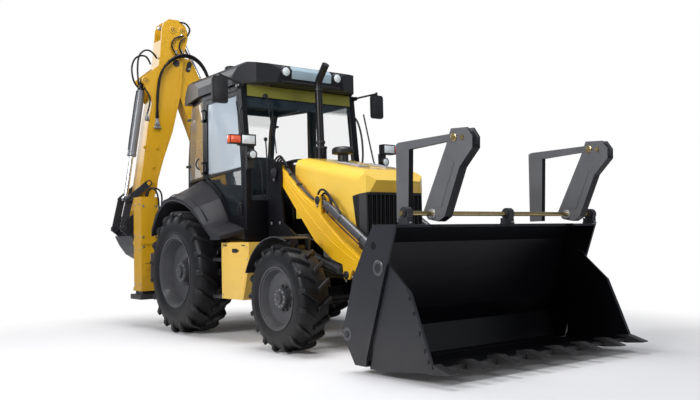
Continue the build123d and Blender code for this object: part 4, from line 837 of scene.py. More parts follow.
# ---- Mudguards ---------------------------------------------------------------------------------------------
# Rear and front mudguards are moulded in grained dark plastic with a rolled lip round the wheel arch and a
# crease along the shoulder.
fender_plastic = finish_of("mudguard plastic", (0.014, 0.014, 0.019), (0.024, 0.024, 0.030), 0.46,
                           depth=0.0006, dust_amount=0.08, sheen=0.28)
dress(["rear_fenders"], fender_plastic)
dress(["knuckle_left", "knuckle_right"], black_plastic)
lips, fender_screws = bmesh.new(), []
arch = [(0.890, 1.070), (0.780, 1.155), (0.620, 1.258), (0.440, 1.375), (0.214, 1.466), (-0.054, 1.512),
        (-0.264, 1.484), (-0.400, 1.405), (-0.500, 1.325), (-0.605, 1.180)]
crease = [(0.700, 1.250), (0.510, 1.408), (0.235, 1.525), (-0.040, 1.575), (-0.270, 1.548), (-0.470, 1.420),
          (-0.570, 1.260)]
for side in (1, -1):
    tube(lips, [at(s, side * 1.050, z) for s, z in arch], 0.009)
    tube(lips, [at(s, side * 0.990, z + 0.012) for s, z in crease], 0.006)
    screw_places = ((-0.40, 1.440), (0.0, 1.530), (0.42, 1.402), (0.92, 1.075))
    fender_screws += [(at(s, side * 1.0565, z), (0, side, 0)) for s, z in screw_places]
finish("mudguard_lips", lips, "machine", "fender", fender_plastic)
bolts("mudguard_screws", "machine", "zinc", fender_screws, 0.008, 0.004, black_bolt)
front_axle, front_hub, guard_radius = 2.170, 0.492, 0.560
for side, name in both_sides:
    front_lips = bmesh.new()
    edge_line = [(front_axle + guard_radius * math.cos(a), front_hub + guard_radius * math.sin(a))
                 for a in (math.radians(d) for d in range(68, 157, 8))]
    for y in (0.776, 1.078):
        tube(front_lips, [at(s, side * y, z) for s, z in edge_line], 0.007)
    finish(f"front_mudguard_lips_{name}", front_lips, f"knuckle_{name}", "fender", fender_plastic)

# ---- Hydraulic cylinders and hoses -------------------------------------------------------------------------
# Drawn steel barrels in grey paint with a screwed gland, ports at both ends and a steel pipe along the
# barrel. The rods are hard chromed, ground and polished. The shaft of the forks is plated in yellow zinc.
barrel_paint = finish_of("cylinder grey", (0.055, 0.057, 0.066), (0.080, 0.082, 0.092), 0.30,
                         dust_amount=0.08)
dark_barrel = finish_of("dark cylinder paint", (0.016, 0.017, 0.021), (0.026, 0.027, 0.032), 0.32,
                        dust_amount=0.08)
chrome = finish_of("hard chrome", (0.72, 0.73, 0.75), (0.60, 0.61, 0.63), 0.14, metallic=1.0,
                   dust_amount=0.05, depth=0.00005)
zinc = finish_of("yellow zinc plate", (0.50, 0.38, 0.17), (0.16, 0.14, 0.11), 0.26, metallic=1.0,
                 dust_amount=0.05, scale=14.0, depth=0.0001)
hose_rubber = finish_of("hose rubber", (0.006, 0.006, 0.008), (0.012, 0.012, 0.014), 0.42, grain=900.0,
                        depth=0.0006, dust_amount=0.05, sheen=0.28)
dress(["lift_barrels", "tilt_barrels", "boom_barrel", "dipper_barrel"], barrel_paint)
dress(["bucket_barrel"], dark_barrel)
dress(["lift_rods", "tilt_rods", "boom_rod", "dipper_rod", "bucket_rod"], chrome)
dress(["fork_shaft"], zinc)
# the backhoe's kingpin, and the pins of its rams: across and up
kingpin_x = -1.440
boom_ram_head, dipper_ram_foot, dipper_ram_head = (0.420, 2.120), (0.500, 2.300), (-0.303, 3.871)
bucket_ram_foot, bucket_ram_head, dipper_tip = (-0.830, 3.145), (-1.065, 1.598), (-0.900, 1.420)


def hoe(y, z, x=0.0):
    """A point of the stored backhoe: across, up, and ahead of its kingpin."""
    return at(kingpin_x + x, y, z)


# body, foot pin, rod pin, barrel radius, share of the length at the barrel's end, side that the pipe lies on
rams = [(f"{name}_barrels", at(*base_pin), at(*rod_pin), 0.042, share, (0, way * 0.25, up))
        for way in (1, -1)
        for name, base_pin, rod_pin, share, up in (
            ("lift", (1.450, way * 0.480, 1.000), (2.540, way * 0.480, 0.690), 0.88, -1),
            ("tilt", (2.100, way * 0.480, 1.400), (3.385, way * 0.480, 0.610), 0.72, -1))]
rams += [("boom_barrel", hoe(0.600, 1.130), hoe(*boom_ram_head), 0.052, 0.88, (0.0, 1, 0)),
         ("dipper_barrel", hoe(*dipper_ram_foot), hoe(*dipper_ram_head), 0.048, 0.55, (0.3, 1, 0.4)),
         ("bucket_barrel", hoe(*bucket_ram_foot), hoe(*bucket_ram_head), 0.046, 0.64, (0.2, -1, 0))]
for number, (body, foot, head, radius, share, side_way) in enumerate(rams):
    run = (head - foot).normalized()
    length = (head - foot).length * share
    out = (Vector(side_way) - run * Vector(side_way).dot(run)).normalized()
    fittings, ports = bmesh.new(), bmesh.new()
    turned(fittings, foot + run * (length - 0.052), run,
           [(0, radius + 0.001), (0.003, radius + 0.005), (0.026, radius + 0.005), (0.028, radius + 0.001),
            (0.030, radius + 0.001), (0.032, radius + 0.004), (0.050, radius + 0.003), (0.056, radius * 0.72),
            (0.056, radius * 0.60), (0.046, radius * 0.58)], sides=32)
    turned(fittings, foot + run * 0.094, run,
           [(0, radius * 0.8), (0.010, radius + 0.002), (0.016, radius + 0.002), (0.020, radius)], sides=32)
    finish(f"ram_fittings_{number}", fittings, body, "cylinder",
           dark_barrel if body == "bucket_barrel" else barrel_paint)
    start, end = foot + run * 0.150, foot + run * (length - 0.085)
    middle = (start + end) / 2
    for place in (start, end):
        turned(ports, place, out, [(radius - 0.006, 0.014), (radius + 0.010, 0.014), (radius + 0.011, 0.011),
                                   (radius + 0.018, 0.010)], sides=12)
    off = out * (radius + 0.019)
    tube(ports, [start + out * (radius + 0.012), start + off + run * 0.03, middle + off,
                 end + off - run * 0.03, end + out * (radius + 0.012)], 0.0065)
    for share_at in (0.35, 0.68):
        place = foot + run * length * share_at
        turned(ports, place - run * 0.008, run,
               [(0, radius - 0.002), (0, radius + 0.002), (0.016, radius + 0.002), (0.016, radius - 0.002)],
               sides=28, hollow=True)
    finish(f"ram_pipes_{number}", ports, body, "zinc", dark_barrel)

# ---- Loader pipes and hoses --------------------------------------------------------------------------------
# Steel pipes run down each loader arm under welded clips. Hoses bridge from the tower to the arm, and from
# the arm's pipes to the cylinders.
arm_hoses, arm_steel, tower_hoses, tower_steel = bmesh.new(), bmesh.new(), bmesh.new(), bmesh.new()
lift_off, arm_side = 0.014, 0.5305
for side in (1, -1):
    for y in (0.455, 0.478):
        tube(arm_steel, on_side(side, (1.470, y, 1.748 + lift_off), (1.800, y, 1.482 + lift_off),
                                (1.96, y, 1.394 + lift_off), (2.020, y, 1.372 + lift_off)), 0.0075)
    for s, z in ((1.56, 1.676), (1.70, 1.563)):
        block(arm_steel, at(s - 0.018, side * 0.442, z + 0.006), at(s + 0.018, side * 0.492, z + 0.032),
              0.003)
    tube(arm_hoses, on_side(side, (2.020, 0.455, 1.388), (2.080, 0.462, 1.460), (2.170, 0.475, 1.470),
                            (2.255, 0.480, 1.400), (2.262, 0.480, 1.345)), 0.011)
    tube(arm_hoses, on_side(side, (2.020, 0.478, 1.388), (2.070, 0.500, 1.500), (2.200, 0.512, 1.500),
                            (2.330, 0.505, 1.380), (2.420, 0.492, 1.262)), 0.011)
    for y in (0.455, 0.478):
        turned(arm_steel, at(1.998, side * y, 1.378), (0.85, 0, 0.25),
               [(0, 0.013), (0.03, 0.013), (0.034, 0.010), (0.045, 0.010)], sides=6)
    # the seam of the arm's folded side plate, and its weld bead
    tube(arm_steel, on_side(side, (1.520, arm_side, 1.640), (1.900, arm_side, 1.290),
                            (2.350, arm_side, 0.960), (2.760, arm_side, 0.780)), 0.0035, material=1)
    tube(arm_steel, on_side(side, (1.430, arm_side, 1.742), (1.800, arm_side, 1.440),
                            (2.130, arm_side, 1.262), (2.450, arm_side, 1.000), (2.817, arm_side, 0.790),
                            (3.060, arm_side, 0.628)), 0.0030, material=1)
    # hoses from the frame up the tower's back, looping over to the arm's pipes
    for n in range(3):
        foot_out, loop_out = 0.440 + 0.030 * n, 0.455 + 0.012 * n
        tube(tower_hoses, on_side(side, (1.255, foot_out, 0.900), (1.215 - 0.012 * n, foot_out, 1.150),
                                  (1.205 - 0.012 * n, foot_out, 1.520), (1.250, foot_out, 1.800 + 0.02 * n),
                                  (1.345, loop_out, 1.878 + 0.022 * n), (1.440, loop_out, 1.830 + 0.012 * n),
                                  (1.470, loop_out, 1.772)), 0.011)
    for z in (1.05, 1.40):
        block(tower_steel, *on_side(side, (1.190, 0.425, z), (1.262, 0.520, z + 0.026)), 0.004)
    # bolt-on plate and hard lines low on the tower
    block(tower_steel, at(1.560, side * 0.558, 0.925), at(1.660, side * 0.566, 1.010), 0.004)
    for n in range(3):
        tube(tower_steel, on_side(side, (1.640 + 0.02 * n, 0.600, 0.800), (1.600, 0.610, 0.905 + 0.02 * n),
                                  (1.520, 0.590, 0.950 + 0.035 * n), (1.430, 0.572, 0.930 + 0.040 * n),
                                  (1.330, 0.580, 0.860 + 0.02 * n)), 0.0075)
finish("arm_hoses", arm_hoses, "loader_arms", "black_plastic", hose_rubber)
finish("arm_pipes", arm_steel, "loader_arms", "zinc", black_bolt, yellow_paint)
bridge = finish("tower_hoses", tower_hoses, None, "black_plastic", hose_rubber)
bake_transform(bridge)
finish("tower_pipes", tower_steel, "machine", "zinc", black_bolt)
tower_bolts = [(at(s, side * 0.558, z), (0, side, 0)) for side in (1, -1)
               for s, z in ((1.30, 0.82), (1.42, 0.82), (1.52, 0.82), (1.30, 1.20), (1.46, 1.20))]
bolts("tower_bolts", "machine", "zinc", tower_bolts, 0.011, 0.007, plated)

# ---- Loader bucket -----------------------------------------------------------------------------------------
# Welded plate in dark grey, its inside painted near black as painted shade. The clam jaw carries the cutting
# edge, worn bright at its tip, and bolts hold its side cutters.
bucket_paint = finish_of("bucket grey paint", (0.016, 0.017, 0.022), (0.025, 0.026, 0.032), 0.38, scale=2.0,
                         dust_amount=0.10, dust_height=0.5, sheen=0.35)
bucket_inside_painted_shade = finish_of("bucket inside painted shade", (0.0022, 0.0022, 0.0040), (0.004, 0.004, 0.006), 0.34, scale=2.0,
                         dust_amount=0.01, depth=0.0006, sheen=0.28)
worn_steel = finish_of("worn steel", (0.045, 0.045, 0.05), (0.018, 0.018, 0.022), 0.40, metallic=0.6,
                       scale=9.0, amount=0.8, dust_amount=0.1, depth=0.0006)
dress(["loader_bucket", "clam_jaw", "digging_bucket"], bucket_paint)
# Painted shade: faces that look into the bucket get a near-black copy of its grey.
painted_shade_centre = Vector((3.800, 0, 0.560))
for name in ("loader_bucket", "clam_jaw"):
    repaint(name, bucket_inside_painted_shade, lambda c, n: abs(c.y) < 1.1765 and c.x > 3.40 and c.z > 0.03
            and (painted_shade_centre - Vector((c.x, c.y * 0.4, c.z))).dot(n) > 0)
repaint("clam_jaw", worn_steel, lambda c, n: c.x > 4.300)
edge = bmesh.new()
for side in (1, -1):
    plate(edge, [(4.085, 0.640), (4.130, 0.622), (4.248, 0.342), (4.338, 0.122), (4.290, 0.118),
                 (4.205, 0.330)], "y", side * 1.1705, side * 1.1780, 0.0015)
finish("side_cutters", edge, "clam_jaw", "bucket", bucket_paint)
side_bolts = [(at(s, side * 1.178, z), (0, side, 0)) for side in (1, -1)
              for s, z in ((4.118, 0.590), (4.160, 0.488), (4.215, 0.352), (4.262, 0.238), (4.292, 0.165))]
bolts("side_cutter_bolts", "clam_jaw", "zinc", side_bolts, 0.014, 0.009, bucket_paint)
plate_bolts = [(at(3.414, side * 1.1950, 0.285), (0, side, 0)) for side in (1, -1)]
bolts("bucket_side_bolts", "loader_bucket", "zinc", plate_bolts, 0.030, 0.008, bucket_paint)
caps = bmesh.new()
for side in (1, -1):
    turned(caps, at(3.810, side * 1.1955, 0.799), (0, side, 0),
           [(0, 0.058), (0.004, 0.058), (0.008, 0.052), (0.0082, 0.020), (0.0084, 0)], sides=32, material=1)
    turned(caps, at(3.414, side * 1.1955, 0.285), (0, side, 0), [(0, 0.052), (0.003, 0.050)], sides=28,
           material=1)
    # A thin near-black disc on each side plate is painted shade.
    turned(caps, at(3.757, side * 1.1955, 0.963), (0, side, 0), [(0, 0.030), (0.001, 0.030)], sides=28,
           material=2)
    tube(caps, on_side(side, (3.360, 1.190, 0.290), (3.415, 1.190, 0.440), (3.512, 1.190, 0.726),
                       (3.672, 1.190, 0.985), (3.752, 1.190, 1.104)), 0.006)
finish("bucket_pivots_and_welds", caps, "loader_bucket", "bucket", bucket_paint, barrel_paint, bucket_inside_painted_shade)
lip = bmesh.new()
block(lip, at(3.742, -1.194, 1.105), at(3.768, 1.194, 1.119), 0.004)
finish("bucket_top_lip", lip, "loader_bucket", "bucket", bucket_paint)

# ---- Forks -------------------------------------------------------------------------------------------------
# Flip-over pallet forks turn on a plated shaft held by brackets and collars. Their arms and tines are forged
# and painted grey, with washers at the eyes and pinned heads; what faces ahead is painted black as painted
# shade.
fork_grey = finish_of("fork paint", (0.115, 0.117, 0.126), (0.060, 0.061, 0.068), 0.40, dust_amount=0.15,
                      scale=4.0)
dress(["fork_arms", "fork_tines"], fork_grey)
# Painted shade: the faces of the arms and tines that point ahead are painted black.
for name in ("fork_arms", "fork_tines"):
    repaint(name, black_paint, lambda c, n: n.x > 0.30)
dress(["shaft_brackets"], grey_paint)
shaft_station, shaft_height, bracket_sides = 4.020, 1.192, (-1.120, -0.025, 1.070)
eyes, fork_heads, shaft_clips = bmesh.new(), bmesh.new(), bmesh.new()
for side in (1, -1):
    for face in (1, -1):
        y = side * 0.800 + face * 0.040
        turned(eyes, at(shaft_station, y, shaft_height), (0, face, 0),
               [(0, 0.036), (0.005, 0.036), (0.007, 0.033)], sides=28)
        turned(fork_heads, at(4.268, y, 1.733), (0, face, 0),
               [(-0.002, 0.030), (0.006, 0.030), (0.008, 0.026), (0.008, 0.014), (0.014, 0.013)], sides=24,
               material=1)
        turned(fork_heads, at(4.350, y, 1.722), (0, face, 0), [(-0.002, 0.022), (0.008, 0.020)], sides=6,
               material=1)
        plate(fork_heads, [(4.025, 1.245), (4.120, 1.235), (4.262, 1.545), (4.235, 1.580), (4.190, 1.560)],
              "y", y, y + face * 0.003, 0.0012)
for y in bracket_sides:
    for end in (y - 0.014, y + 0.050):
        turned(shaft_clips, at(shaft_station, end, shaft_height), (0, 1, 0), [(0, 0.030), (0.014, 0.030)],
               sides=24)
    block(shaft_clips, at(3.948, y + 0.006, 1.112), at(4.072, y + 0.044, 1.124), 0.003)
finish("fork_eye_washers", eyes, "fork_arms", "zinc", plated)
finish("fork_head_pins", fork_heads, "fork_arms", "grey", fork_grey, zinc)
finish("shaft_collars", shaft_clips, "loader_bucket", "grey", grey_paint)
bracket_heads = [(at(s, y + 0.025, 1.124), (0, 0, 1)) for y in bracket_sides for s in (3.958, 4.060)]
bolts("shaft_bracket_bolts", "loader_bucket", "zinc", bracket_heads, 0.010, 0.007, plated)

# ---- Backhoe -----------------------------------------------------------------------------------------------
# Boom and dipper are welded boxes in gloss yellow, darker than the arms' yellow as painted shade, as is the
# rear frame. They have bolted pin caps, a slot in the boom's head drawn as a black sheet of painted shade,
# and pale plated fittings. Long hoses loop from the boom over the elbow to the dipper, and on to the bucket's
# ram.
dress(["hoe_carriage", "swing_post", "stabiliser_leg_left", "stabiliser_leg_right", "guide_link",
       "power_link"], grey_paint)
# Painted shade: a darker copy of the yellow enamel, put on the boom, dipper and rear frame.
hoe_paint_painted_shade = finish_of("backhoe enamel painted shade", (0.60, 0.33, 0.012), (0.53, 0.28, 0.010), 0.34, coat=0.18,
                      depth=0.0003)
dress(["boom", "dipper", "rear_frame"], hoe_paint_painted_shade)
repaint("digging_bucket", worn_steel, lambda c, n: c.z > 1.200 and c.y > -0.450)
boom_half, dipper_half, link_half = 0.0955, 0.1255, 0.1700
# body, across, up, half width at the outer face, radius of the cap
hoe_pins = [
    ("boom", *dipper_ram_foot, boom_half, 0.036), ("boom", *boom_ram_head, boom_half, 0.036),
    ("dipper", *dipper_ram_head, dipper_half, 0.036), ("dipper", -0.441, 3.868, dipper_half, 0.032),
    ("dipper", *bucket_ram_foot, dipper_half, 0.034), ("dipper", -0.400, 3.420, dipper_half, 0.046),
    ("dipper", *dipper_tip, dipper_half, 0.040), ("swing_post", 0.430, 0.740, 0.1215, 0.045),
    ("guide_link", *bucket_ram_head, link_half, 0.030), ("digging_bucket", -1.150, 1.220, link_half, 0.032),
]
for body in ("dipper", "boom", "swing_post", "guide_link", "digging_bucket"):
    caps = bmesh.new()
    for owner, y, z, half, radius in hoe_pins:
        if owner == body:
            for way in (1, -1):
                turned(caps, hoe(y, z, way * half), (way, 0, 0),
                       [(-0.004, radius), (0.005, radius), (0.008, radius * 0.86), (0.004, radius * 0.6),
                        (0.004, radius * 0.3), (0.010, radius * 0.26)], sides=28)
    finish(f"hoe_pins_{body}", caps, body, "grey", black_bolt)
slot, slot_pin, welds = bmesh.new(), bmesh.new(), bmesh.new()
# The boom's slot is a thin black sheet on its sides: painted shade in place of an opening.
for way in (1, -1):
    outline = [(-0.205 + 0.036 * math.cos(a) + 0.012 * shift, 3.400 + 0.040 * shift + 0.036 * math.sin(a))
               for a, shift in [(math.radians(d), 1 if 0 <= d < 180 else -1) for d in range(-170, 190, 20)]]
    plate(slot, outline, "x", kingpin_x + way * 0.094, kingpin_x + way * 0.098, 0.001)
    turned(slot_pin, hoe(-0.196, 3.372, way * 0.0965), (way, 0, 0), [(0, 0.016), (0.002, 0.015)], sides=20)
    seam = [(0.395, 1.050), (0.255, 1.650), (0.145, 2.180), (-0.080, 2.800), (-0.300, 3.300)]
    tube(welds, [hoe(y, z, way * boom_half) for y, z in seam], 0.003)
finish("boom_head_slot", slot, "boom", "black_plastic", black_plastic)
finish("boom_head_pins", slot_pin, "boom", "zinc", plated)
finish("boom_weld_seams", welds, "boom", "yellow", hoe_paint_painted_shade)
dipper_welds = bmesh.new()
for way in (1, -1):
    for path in ([(-0.560, 3.700), (-0.640, 3.250), (-0.760, 2.600), (-0.850, 1.960), (-0.900, 1.640)],
                 [(-0.330, 3.600), (-0.365, 3.150), (-0.480, 2.560), (-0.605, 2.160), (-0.700, 1.840)]):
        tube(dipper_welds, [hoe(y, z, way * dipper_half) for y, z in path], 0.003)
    for y, z, radius in ((*dipper_ram_head, 0.058), (-0.441, 3.868, 0.052), (*bucket_ram_foot, 0.050),
                         (*dipper_tip, 0.056)):
        turned(dipper_welds, hoe(y, z, way * 0.1225), (way, 0, 0),
               [(0, radius), (0.006, radius), (0.009, radius - 0.004)], sides=32)
finish("dipper_bosses_and_seams", dipper_welds, "dipper", "yellow", hoe_paint_painted_shade)
dipper_bolts = [(hoe(y, z, 0.129), (1, 0, 0)) for y, z in ((-0.853, 2.269), (-0.675, 2.266), (-0.732, 2.014))]
bolts("dipper_boss_bolts", "dipper", "zinc", dipper_bolts, 0.012, 0.010, hoe_paint_painted_shade)


def along_hoe(*places):
    """Points of a line along the stored backhoe, each across, up and ahead."""
    return [hoe(*place) for place in places]


dipper_hoses, dipper_fittings = bmesh.new(), bmesh.new()
tube(dipper_hoses, along_hoe((-0.412, 3.960, 0.06), (-0.345, 3.988, 0.12), (-0.265, 3.982, 0.140),
                             (-0.216, 3.925, 0.150), (-0.206, 3.870, 0.150), (-0.245, 3.806, 0.145)), 0.013)
tube(dipper_hoses, along_hoe((-0.300, 3.800, 0.145), (-0.400, 3.780, 0.150), (-0.480, 3.690, 0.152),
                             (-0.462, 3.590, 0.150), (-0.400, 3.530, 0.140)), 0.011)
tube(dipper_hoses, along_hoe((-0.272, 3.776, 0.145), (-0.335, 3.740, 0.150), (-0.368, 3.660, 0.152),
                             (-0.352, 3.590, 0.150), (-0.318, 3.545, 0.140)), 0.011)
tube(dipper_hoses, along_hoe((-0.845, 3.051, 0.100), (-0.800, 2.985, 0.130), (-0.775, 2.900, 0.140),
                             (-0.790, 2.800, 0.140), (-0.818, 2.700, 0.136)), 0.011)
for y, z, way_y, way_z in ((-0.318, 3.812, -0.5, -0.4), (-0.402, 3.535, 0, 1), (-0.318, 3.552, 0, 1),
                           (-0.818, 2.665, 0, 1), (-0.690, 2.600, 0, 1), (-0.672, 2.596, 0, 1)):
    turned(dipper_fittings, hoe(y, z, 0.134), (0, way_y, way_z),
           [(0, 0.016), (0.018, 0.016), (0.022, 0.012), (0.050, 0.012), (0.052, 0.014), (0.064, 0.014)],
           sides=8)
block(dipper_fittings, hoe(-0.730, 2.520, 0.124), hoe(-0.630, 2.545, 0.150), 0.004)
block(dipper_fittings, hoe(-0.715, 2.545, 0.124), hoe(-0.650, 2.605, 0.146), 0.004)
block(dipper_fittings, hoe(-0.845, 2.610, 0.124), hoe(-0.795, 2.668, 0.144), 0.004)
turned(dipper_fittings, hoe(-0.568, 3.900, -0.030), (1, 0, 0),
       [(0, 0.030), (0.030, 0.030), (0.034, 0.026), (0.060, 0.026)], sides=20)
finish("dipper_hoses", dipper_hoses, "dipper", "black_plastic", hose_rubber)
finish("dipper_fittings", dipper_fittings, "dipper", "zinc", plated)

elbow_hoses = bmesh.new()
for n, (rise, out) in enumerate(((0.0, 0.158), (-0.024, 0.142))):
    tube(elbow_hoses, along_hoe((-0.690 + 0.018 * n, 2.655, 0.136), (-0.684, 2.850, out),
                                (-0.676, 3.060, out + 0.01), (-0.640, 3.270, out + 0.02),
                                (-0.520, 3.440 + rise, out + 0.02), (-0.370, 3.535 + rise, out + 0.015),
                                (-0.200, 3.550 + rise, out + 0.005), (-0.050, 3.470 + rise, out),
                                (0.060, 3.320 + rise, out - 0.02), (0.120, 3.120, 0.118),
                                (0.170, 2.900, 0.112), (0.230, 2.650, 0.108)), 0.015, sides=3)
elbow_piece = finish("elbow_hoses", elbow_hoses, None, "black_plastic", hose_rubber)
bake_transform(elbow_piece)
boom_lines, boom_clips = bmesh.new(), bmesh.new()
for n in range(2):
    tube(boom_lines, along_hoe((0.230 - 0.03 * n, 2.660, 0.108), (0.285 - 0.03 * n, 2.380, 0.108),
                               (0.350 - 0.03 * n, 2.050, 0.108), (0.430 - 0.03 * n, 1.500, 0.108),
                               (0.440 - 0.03 * n, 1.050, 0.110)), 0.010)
for y, z in ((0.300, 2.250), (0.370, 1.800), (0.415, 1.350)):
    block(boom_clips, hoe(y - 0.050, z - 0.012, 0.094), hoe(y + 0.040, z + 0.012, 0.124), 0.003)
finish("boom_pipes", boom_lines, "boom", "zinc", black_bolt)
finish("boom_pipe_clips", boom_clips, "boom", "zinc", black_bolt)
ram_hoses = bmesh.new()
for route in ([(-0.640, 3.470), (-0.700, 3.550), (-0.800, 3.575), (-0.900, 3.480), (-0.912, 3.300),
               (-0.908, 3.160), (-0.892, 3.085)],
              [(-0.730, 3.380), (-0.770, 3.470), (-0.850, 3.490), (-0.950, 3.440), (-0.992, 3.320),
               (-0.985, 3.190), (-0.950, 3.100), (-0.905, 3.050)]):
    tube(ram_hoses, [hoe(y, z, 0.050 + 0.012 * (n % 2)) for n, (y, z) in enumerate(route)], 0.012)
finish("bucket_ram_hoses", ram_hoses, "dipper", "black_plastic", hose_rubber)
# the bucket's ram slides in a wider outer tube with a collar at its end
body, sleeve_foot, sleeve_head, radius, share, side_way = rams[-1]
sleeve_run = (sleeve_head - sleeve_foot).normalized()
sleeve = bmesh.new()
length = (sleeve_head - sleeve_foot).length * share
turned(sleeve, sleeve_foot + sleeve_run * 0.120, sleeve_run,
       [(0, 0.045), (0, 0.050), (0.006, 0.056), (length - 0.160, 0.056), (length - 0.156, 0.059),
        (length - 0.124, 0.059), (length - 0.118, 0.050), (length - 0.118, 0.045)], sides=36, hollow=True)
sleeve_grey = finish_of("outer barrel grey", (0.16, 0.165, 0.18), (0.12, 0.125, 0.14), 0.28, dust_amount=0.05,
                        coat=0.2)
finish("bucket_ram_tube", sleeve, "bucket_barrel", "cylinder", sleeve_grey)

# ---- Stabilisers -------------------------------------------------------------------------------------------
# Box casings welded to the rear frame hold the sliding legs. Each has a slotted adjuster plate, wear-pad
# screws and hoses that drop from the valve block.
adjusters, casing_hoses, casing_screws = bmesh.new(), bmesh.new(), []
for side in (1, -1):
    for z in (0.640, 0.715, 0.790):
        block(adjusters, at(-0.867, side * 0.992, z - 0.014), at(-0.861, side * 1.040, z + 0.030), 0.002)
    block(adjusters, at(-0.867, side * 0.930, 0.560), at(-0.862, side * 0.975, 0.900), 0.002)
    for n in range(2):
        tube(casing_hoses, on_side(side, (-0.930 - 0.05 * n, 0.980, 1.600), (-0.930 - 0.05 * n, 0.975, 1.680),
                                   (-0.900, 0.930 - 0.05 * n, 1.720), (-0.840, 0.880 - 0.06 * n, 1.640),
                                   (-0.838, 0.866 - 0.02 * n, 1.400), (-0.848, 0.862, 1.120)), 0.011)
    casing_screws += [(at(-0.866, side * y, z), (1, 0, 0)) for z in (0.470, 0.980, 1.100, 1.480)
                      for y in (0.900, 1.062)]
    casing_screws += [(at(s, side * 1.090, z), (0, side, 0)) for z in (0.520, 0.940, 1.110, 1.500)
                      for s in (-0.905, -1.065)]
finish("stabiliser_adjusters", adjusters, "machine", "zinc", plated)
finish("stabiliser_hoses", casing_hoses, "machine", "black_plastic", hose_rubber)
bolts("stabiliser_screws", "machine", "zinc", casing_screws, 0.010, 0.006, plated)
for side, name in both_sides:
    low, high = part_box(f"stabiliser_leg_{name}")
    pad = bmesh.new()
    for n in range(4):
        x = low.x + 0.050 + n * (high.x - low.x - 0.10) / 3
        block(pad, (x - 0.006, low.y + 0.012, low.z - 0.0005), (x + 0.006, high.y - 0.012, low.z + 0.010),
              0.002)
    finish(f"stabiliser_pad_ribs_{name}", pad, f"stabiliser_{name}", "grey", grey_paint)


# ---- Glazing -----------------------------------------------------------------------------------------------
# Toughened flat glass. The door glass carries a painted reflection of the surround: pale and faintly streaked
# above the waist, dark below. The rear quarters are bronze tinted. The windscreen and rear glass are clear
# below a darker band. A pane's inner face is left clear.
def pane_of(name, upper, lower, *, alpha_up, alpha_low, split_at, blur=0.05):
    """Thin glass whose tint and clearness change at a height. Its far side is almost clear."""
    material, tree = new_material(name)
    place = add_node(tree, "ShaderNodeTexCoord")
    parts = add_node(tree, "ShaderNodeSeparateXYZ", vector=place.outputs["Object"])
    share = add_node(tree, "ShaderNodeMapRange", value=parts.outputs["Z"], from_min=split_at - blur,
                     from_max=split_at + blur, interpolation_type="SMOOTHSTEP")
    streak = add_node(tree, "ShaderNodeTexNoise", vector=place.outputs["Object"], scale=1.1, detail=1.0)
    darker, paler = [(*(min(1.0, c * change) for c in upper), 1) for change in (0.92, 1.12)]
    streaked = add_node(tree, "ShaderNodeMix", {0: streak, 6: darker, 7: paler}, data_type="RGBA")
    tint = add_node(tree, "ShaderNodeMix", {0: share, 6: (*lower, 1), 7: streaked.outputs[2]},
                    data_type="RGBA")
    cover = add_node(tree, "ShaderNodeMix", {0: share, 2: alpha_low, 3: alpha_up}, data_type="FLOAT")
    behind = add_node(tree, "ShaderNodeNewGeometry")
    near_only = add_node(tree, "ShaderNodeMix", {0: behind.outputs["Backfacing"], 2: cover, 3: 0.02},
                         data_type="FLOAT")
    shader = add_node(tree, "ShaderNodeBsdfPrincipled", roughness=0.04, base_color=tint.outputs[2],
                      alpha=near_only)
    add_node(tree, "ShaderNodeOutputMaterial", surface=shader)
    return material


# Painted reflection: the door glass's pale upper tint and dark lower tint stand in for what it reflects.
door_pane_painted_reflection = pane_of("door glass", (0.46, 0.53, 0.60), (0.010, 0.016, 0.022), alpha_up=0.90, alpha_low=0.55,
                    split_at=1.790, blur=0.012)
clear_pane = pane_of("windscreen glass", (0.02, 0.04, 0.06), (0.10, 0.16, 0.18), alpha_up=0.80,
                     alpha_low=0.05, split_at=2.470, blur=0.030)
bronze_pane = pane_of("quarter glass", (0.42, 0.33, 0.22), (0.26, 0.26, 0.26), alpha_up=0.72, alpha_low=0.72,
                      split_at=2.150, blur=0.350)
dress(["door_glass_left", "door_glass_right"], door_pane_painted_reflection)
dress(["cab_glass"], bronze_pane)
inner_pane = pane_of("inner face of glass", (0.10, 0.14, 0.16), (0.10, 0.14, 0.16), alpha_up=0.05,
                     alpha_low=0.05, split_at=2.0)
for name in ("door_glass_left", "door_glass_right", "cab_glass"):
    repaint(name, inner_pane, lambda c, n: abs(c.y) > 0.50 and n.y * c.y < -0.10)
repaint("cab_glass", clear_pane, lambda c, n: c.x > 0.600 and n.x > 0)
repaint("cab_glass", inner_pane, lambda c, n: c.x > 0.600 and n.x <= 0)
back_pane = pane_of("rear glass", (0.02, 0.04, 0.06), (0.10, 0.16, 0.18), alpha_up=0.30, alpha_low=0.06,
                    split_at=2.500, blur=0.030)
repaint("cab_glass", back_pane, lambda c, n: c.x < 0.0 and abs(c.y) < 0.545)
seals = bmesh.new()
for side in (-1, 1):
    tube(seals, on_side(side, (1.116, 0.6965, 1.455), (1.118, 0.6965, 1.830), (1.036, 0.6965, 2.590)), 0.007)
finish("windscreen_seals", seals, "machine", "black_plastic", black_plastic)

